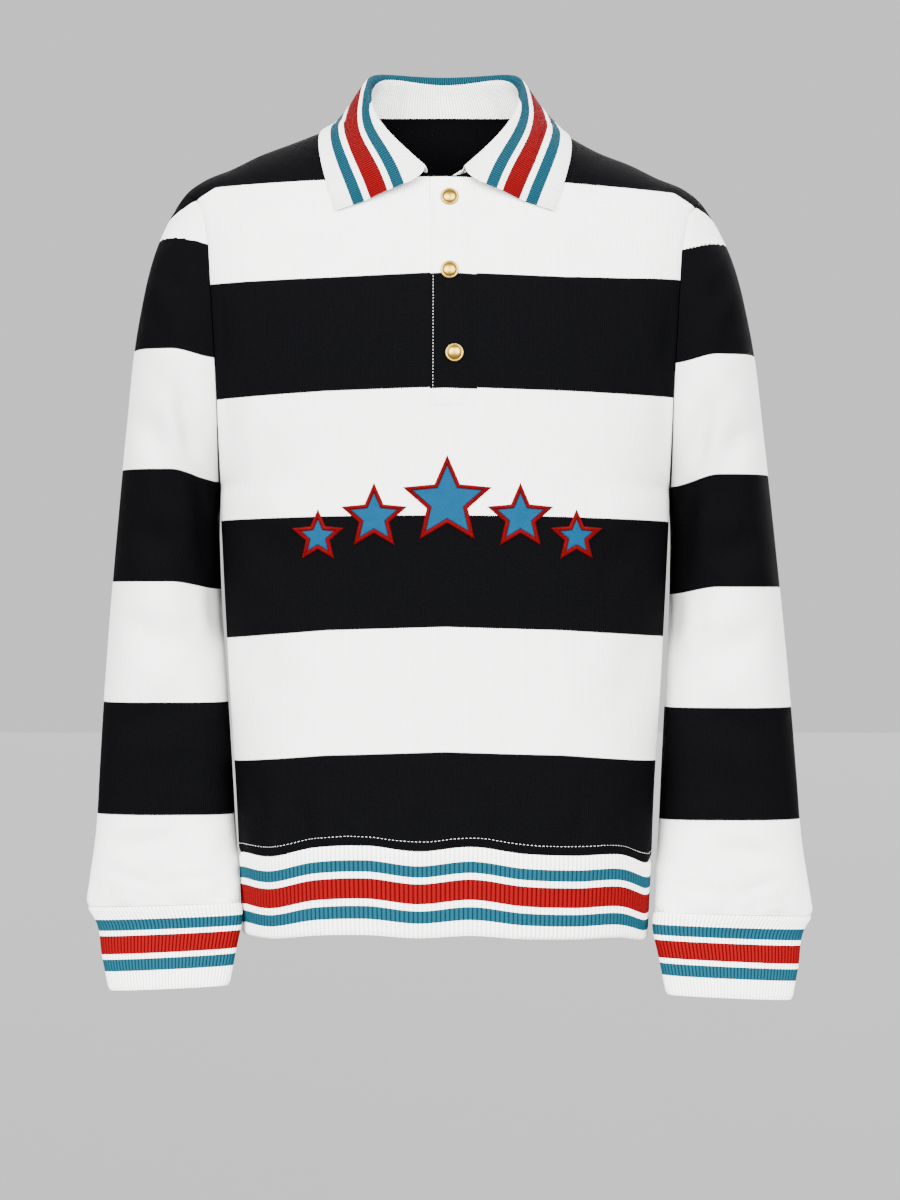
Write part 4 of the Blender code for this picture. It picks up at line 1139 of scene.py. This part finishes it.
def make_collar(seam, cloth, fine_cloth, look):
    shares = shares_of([outer for outer, _ in seam])

    def section(outer, inner, share):
        row = collar_section((outer + inner) / 2, abs(2 * share - 1), -1 if share < 0.5 else 1)
        return row[:3] + [kept_off(cloth, p, COLLAR_LAY, COLLAR_DEEPEST) for p in row[3:]]

    rows = [section(*seam[0], shares[0])]
    for k, (start, end) in enumerate(zip(seam, seam[1:])):
        length = (section(*end, shares[k + 1])[-1] - rows[-1][-1]).length
        parts = max(1, round(length / COLLAR_SPAN))
        for step in even_shares(parts)[1:]:
            edge = [a.lerp(b, step) for a, b in zip(start, end)]
            rows.append(section(*edge, shares[k] + (shares[k + 1] - shares[k]) * step))
    coarse = as_array(rows)
    for _ in range(COLLAR_EASINGS):
        coarse[1:-1, 2:] += ((coarse[:-2, 2:] + coarse[2:, 2:]) / 2 - coarse[1:-1, 2:]) * 0.5
    grid = refined(coarse, parts_of(coarse, 1, COLLAR_STEP), 1)
    grid = refined(grid, parts_of(coarse, 0, COLLAR_STEP), 0)
    normals = normals_of(grid, 1)
    across = distance_along(grid, 1)
    from_edge = across[:, -1:] - across
    ends = distance_along(grid, 0)
    to_end = np.minimum(ends, ends[-1:] - ends)
    margin = np.minimum(from_edge, to_end)
    thin = 0.55 * np.exp(-(margin / 1.2) ** 2)
    half = COLLAR_WALL / 2 - thin
    fall = smooth_step((across - 42) / 30)
    wave = 0.8 * np.sin(ends / 31 + 1.1 * np.sin(ends / 57)) * fall
    wave *= smooth_step(from_edge / 90 + 0.4)
    middle = grid - normals * wave[..., None]
    for row, reach in zip(middle, across):
        for k in np.flatnonzero(reach > COLLAR_TURN):
            row[k] = kept_off(fine_cloth, Vector(row[k]), COLLAR_CLEAR, COLLAR_DEEPEST)
    mean_length = ends.mean(axis=1, keepdims=True)
    marks = {"down": from_edge, "across": np.broadcast_to(mean_length, ends.shape)}
    return piece("collar", middle + normals * half[..., None], middle - normals * half[..., None],
                 look, "collar", marks)


# --- Placket, stitches, patches and snaps -------------------------------------------

def make_placket(front_cloth, look):
    """The two strips over the slit, cut from the front's own form."""
    grid, normals, marks, rows, columns = front_cloth
    slit = PANEL_LINES.index(SLIT_LEFT)
    first, last = columns[slit], columns[slit + 2]
    rows_in = slice(rows[FOOT_ROW], None)
    part = (rows_in, slice(first, last + 1))
    strip, way = grid[part].copy(), normals[part]
    across = distance_along(strip, 1)
    up = distance_along(strip, 0)
    margin = np.minimum(np.minimum(across, across[:, -1:] - across), up)
    raised = PLACKET_RAISE - 1.1 * np.exp(-(margin / 1.1) ** 2)
    raised *= 0.15 + 0.85 * smooth_step((across[:, -1:] - across) / 13)
    dimple = -0.35 * np.exp(-((margin - 3.2) / 1.0) ** 2)
    outer = strip + way * (raised + dimple)[..., None]
    strip_marks = {key: value[part] for key, value in marks.items()}
    strip_marks["stripe"] = strip_marks["stripe"] - 0.010
    over = piece("placket_over", outer, strip - way * JERSEY, look, "placket_over",
                 strip_marks)
    level = rows[PLACES.index(LAST_LEVEL)]
    deep = (slice(rows[FOOT_ROW], level + 1), slice(first - 2, last + 1))
    under = piece("placket_under", grid[deep] - normals[deep] * UNDER_OUTER,
                  grid[deep] - normals[deep] * UNDER_INNER, look, "placket_under",
                  {key: value[deep] for key, value in marks.items()})
    return over, under, outer, way


def stitch_line(points, normals, spacing, length, thickness, lift):
    """Stitches along a line as thin six-sided grains, with the faces of each."""
    steps = np.linalg.norm(np.diff(points, axis=0), axis=-1)
    known = np.concatenate([[0], np.cumsum(steps)])
    count = int(known[-1] / spacing)
    verts, faces = [], []
    for k in range(count):
        middle = (k + 0.5) * spacing
        place = [np.array([np.interp(middle + s * length, known, points[:, i]) for i in range(3)])
                 for s, _ in STITCH_PROFILE]
        normal = np.array([np.interp(middle, known, normals[:, i]) for i in range(3)])
        normal /= np.linalg.norm(normal)
        side = np.cross(place[-1] - place[0], normal)
        side /= max(np.linalg.norm(side), 1e-9)
        first = len(verts)
        for (_, size), spot in zip(STITCH_PROFILE, place):
            for t in range(STITCH_SIDES):
                a = 2 * math.pi * t / STITCH_SIDES
                verts.append(spot + normal * (lift + thickness * 0.5 * size * math.sin(a))
                             + side * thickness * 0.6 * size * math.cos(a))
        ends = [range(row, row + STITCH_SIDES)
                for row in range(first, len(verts), STITCH_SIDES)]
        for row in ends[:-1]:
            for a, b in zip(row, [*row[1:], row[0]]):
                faces.append((a, b, b + STITCH_SIDES, a + STITCH_SIDES))
        faces += [tuple(reversed(ends[0])), tuple(ends[-1])]
    return verts, faces


def make_stitches(name, lines, look):
    verts, faces = [], []
    for line in lines:
        more, more_faces = stitch_line(*line)
        faces += [tuple(i + len(verts) for i in face) for face in more_faces]
        verts += more
    mesh = bpy.data.meshes.new(name)
    mesh.from_pydata([tuple(v * MM) for v in verts], [], faces)
    made = linked(name, mesh)
    shape = bmesh.new()
    shape.from_mesh(mesh)
    bmesh.ops.recalc_face_normals(shape, faces=shape.faces)
    shape.to_mesh(mesh)
    shape.free()
    mesh.shade_smooth()
    return finished(made, look, None)


def line_above(cloth, height):
    """The line on a panel at a distance above its hem seam, with its normals."""
    grid, normals, marks, _, _ = cloth
    points, ways = [], []
    for c in range(grid.shape[1]):
        up = marks["up"][:, c]
        points.append([np.interp(height, up, grid[:, c, i]) for i in range(3)])
        ways.append([np.interp(height, up, normals[:, c, i]) for i in range(3)])
    return np.array(points), np.array(ways)


def on_cloth(tree, x, z):
    spot, normal, _, _ = tree.ray_cast(Vector((x, -300, z)), Vector((0, 1, 0)))
    return spot, normal


def star_outline(radius, per_edge):
    """Points round a star's straight edges, and the distance of an edge from its middle."""
    corners = []
    for k in range(10):
        size = radius * (1 if k % 2 == 0 else STAR_INNER)
        t = math.pi / 2 + math.pi * k / 5
        corners.append(np.array([size * math.cos(t), size * math.sin(t)]))
    points = []
    for a, b in zip(corners, corners[1:] + corners[:1]):
        points += [a + (b - a) * k / per_edge for k in range(per_edge)]
    a, b = corners[0], corners[1]
    apothem = abs(a[0] * b[1] - a[1] * b[0]) / np.linalg.norm(b - a)
    return np.array(points), apothem


def make_star(name, star, tree, look):
    outline, apothem = star_outline(star.radius, STAR_EDGE_POINTS)
    inner_steps = np.linspace(apothem, STAR_BORDER * 1.15, STAR_FIELD_STEPS)
    border_steps = STAR_BORDER * np.array(STAR_BORDER_STEPS)
    depths = np.concatenate([inner_steps, border_steps])
    outer, inner, edge = [], [], []
    for depth in depths:
        share = 1 - depth / apothem
        top_row, low_row = [], []
        across = (depth - STAR_BORDER / 2) / (STAR_BORDER / 2)
        swell = math.sqrt(max(0.0, 1 - across * across)) if depth <= STAR_BORDER else 0.0
        height = 0.35 + 1.75 * swell if depth <= STAR_BORDER else 1.25
        for x, z in outline * share:
            spot, normal = on_cloth(tree, star.x + x, star.z + z)
            top_row.append(spot + normal * height)
            low_row.append(spot + normal * 0.12)
        outer.append([list(p) for p in top_row])
        inner.append([list(p) for p in low_row])
        edge.append([depth] * len(outline))
    steps = np.linalg.norm(np.roll(outline, -1, axis=0) - outline, axis=-1)
    round_it = np.concatenate([[0], np.cumsum(steps)[:-1]])
    marks = {"edge": np.array(edge), "round": round_it}
    return piece(name, np.array(outer), np.array(inner), look, name, marks, closed=True,
                 flip=True, weld=True)


def make_snap(name, place, tree, look):
    """A pressed cap: a rolled rim, a fine groove and a domed middle."""
    spot, normal = on_cloth(tree, *place)
    bpy.ops.object.select_all(action="DESELECT")
    bpy.ops.mesh.primitive_cylinder_add(vertices=64, radius=SNAP_RADIUS * MM,
                                        depth=SNAP_WALL * MM, location=(0, 0, SNAP_WALL / 2 * MM))
    cap = bpy.context.object
    cap.name = cap.data.name = f"{name}_cap"
    shape = bmesh.new()
    shape.from_mesh(cap.data)
    shape.faces.ensure_lookup_table()
    top = max(shape.faces, key=lambda face: face.calc_center_median().z)
    for thickness, rise in SNAP_INSETS:
        bmesh.ops.inset_region(shape, faces=[top], thickness=thickness * MM, depth=rise * MM)
    shape.to_mesh(cap.data)
    shape.free()
    bevel = cap.modifiers.new("Bevel", "BEVEL")
    bevel.width = 0.28 * MM
    bevel.segments = 3
    bevel.limit_method = "ANGLE"
    bevel.angle_limit = math.radians(18)
    bpy.ops.object.modifier_apply(modifier="Bevel")
    turn = Vector((0, 0, 1)).rotation_difference(normal).to_matrix().to_4x4()
    groove_light = cap.data.attributes.new("groove_light", "FLOAT", "POINT")
    for value, vertex in zip(groove_light.data, cap.data.vertices):
        # Painted shade: the groove between rim and dome is darkened on the cap's top face
        radius = vertex.co.xy.length / MM
        groove_shade = 0.85 * math.exp(-((radius - SNAP_GROOVE) / SNAP_GROOVE_WIDTH) ** 2)
        value.value = 1 - groove_shade * (vertex.co.z > SNAP_GROOVE_Z * MM)
    place = Matrix.Translation((spot + normal * SNAP_LIFT) * MM)
    cap.data.transform(place @ turn)
    cap.matrix_world = Matrix.Identity(4)
    cap.data.shade_smooth()
    cap.data.set_sharp_from_angle(angle=math.radians(CAP_SHARP_ANGLE))
    return finished(cap, look, name)


# --- Stage ------------------------------------------------------------------------

def make_stage():
    bpy.ops.object.select_all(action="DESELECT")
    bpy.ops.mesh.primitive_plane_add(size=FLOOR_SIZE, location=(0, 0, FLOOR_Z))
    floor = bpy.context.object
    floor.name = "floor"
    floor.data.materials.append(floor_look())
    world = bpy.data.worlds.new("studio")
    bpy.context.scene.world = world
    world.use_nodes = True
    background = world.node_tree.nodes["Background"]
    background.inputs["Color"].default_value = AIR
    background.inputs["Strength"].default_value = 1.0
    for name, place, energy, width in SUNS:
        light = bpy.data.lights.new(name, "SUN")
        light.energy, light.angle = energy, math.radians(width)
        lamp = linked(name, light)
        lamp.location = place
        lamp.rotation_euler = (-Vector(place)).to_track_quat("-Z", "Y").to_euler()


def make_camera():
    camera = bpy.data.cameras.new("camera")
    camera.sensor_width = SENSOR
    camera.lens = SENSOR * -CAMERA_AT[1] / (PHOTO_HEIGHT * PHOTO_SCALE)
    camera.clip_end = 100
    holder = linked("camera", camera)
    holder.location = Vector(CAMERA_AT) * MM
    holder.rotation_euler = (math.pi / 2, 0, 0)
    bpy.context.scene.camera = holder


# --- Making -----------------------------------------------------------------------

def make_shirt():
    jersey = jersey_look()
    hem_knit = rib_look("hem_knit", HEM_BANDS, HEM_RIB_LIGHT)
    cuff_knit = rib_look("cuff_knit", CUFF_BANDS, CUFF_RIB_LIGHT)
    collar_knit = collar_look()
    star_felt = star_look()
    brass = brass_look()
    white_thread = thread_look()

    front_panel = Panel(FRONT_LEVELS, FRONT_NECK, FRONT_CAP, FRONT_HEM_WAVE)
    back_panel = Panel(BACK_LEVELS, BACK_NECK, BACK_CAP, BACK_HEM_WAVE)
    front = front_panel.grid(PANEL_LINES, PLACES, back_panel)
    back = back_panel.grid(PANEL_LINES, PLACES, front_panel)

    front_cloth = panel_cloth(as_array(front), 1, FRONT_STRIPES, FRONT_CREASES)
    back_cloth = panel_cloth(as_array(back), -1, BACK_STRIPES, BACK_CREASES)
    _, _, _, rows, columns = front_cloth
    slit = PANEL_LINES.index(SLIT_LEFT)
    skip = {(r, c) for r in range(rows[FOOT_ROW], rows[-1])
            for c in range(columns[slit], columns[slit + 2])}
    front_piece = make_panel("front", front_cloth, 1, jersey, skip)
    back_piece = make_panel("back", back_cloth, -1, jersey)

    band_top = hem_ring(60, 60)
    band_rings = [[p + Vector((0, 0, -BAND_HEIGHT)) for p in band_top], band_top]
    panels = [(front, False), ([row[::-1] for row in back], False)]
    body = sheet_tree([*panels, (band_rings, True)])
    sleeves = [make_sleeve(name, side, front, back, body, jersey)
               for side, name in ((-1, "sleeve_left"), (1, "sleeve_right"))]
    cuffs = [make_cuff(name, side, cuff_knit)
             for side, name in ((-1, "cuff_left"), (1, "cuff_right"))]
    band = make_hem_band(hem_knit)

    over, under, strip, strip_way = make_placket(front_cloth, jersey)
    front_ways = [Vector(n) for n in unit_rows(front, 1)[-1]]
    back_ways = [Vector(n) for n in unit_rows(back, -1)[-1]]
    seam = collar_seam(front[TOP_ROW], front_ways, back[TOP_ROW], back_ways)
    coarse_strip = [[Vector(p) for p in row[::4]] for row in strip[::3]]
    shoulders = sheet_tree([*panels, (coarse_strip, False)])
    fine_shoulders = sheet_tree([(front_cloth[0][-70:], False), (back_cloth[0][-70:, ::-1], False),
                                 (strip, False)])
    collar = make_collar(seam, shoulders, fine_shoulders, collar_knit)

    hem_stitches = make_stitches("hem_stitches", [
        (*line_above(cloth, HEM_STITCH_UP), *HEM_STITCH) for cloth in (front_cloth, back_cloth)],
        white_thread)
    placket_stitches = make_stitches("placket_stitches", [
        (strip[2:-4, 2], strip_way[2:-4, 2], *PLACKET_STITCH),
        (strip[2, 2:-2], strip_way[2, 2:-2], *PLACKET_STITCH)], white_thread)

    strip_tree = sheet_tree([(strip[::2], False)])
    snaps = [make_snap(name, place, strip_tree, brass) for name, place in SNAPS.items()]
    chest = sheet_tree([(front_cloth[0], False)])
    stars = [make_star(f"star_{k}", star, chest, star_felt) for k, star in enumerate(STARS, 1)]


make_camera()
make_shirt()
make_stage()
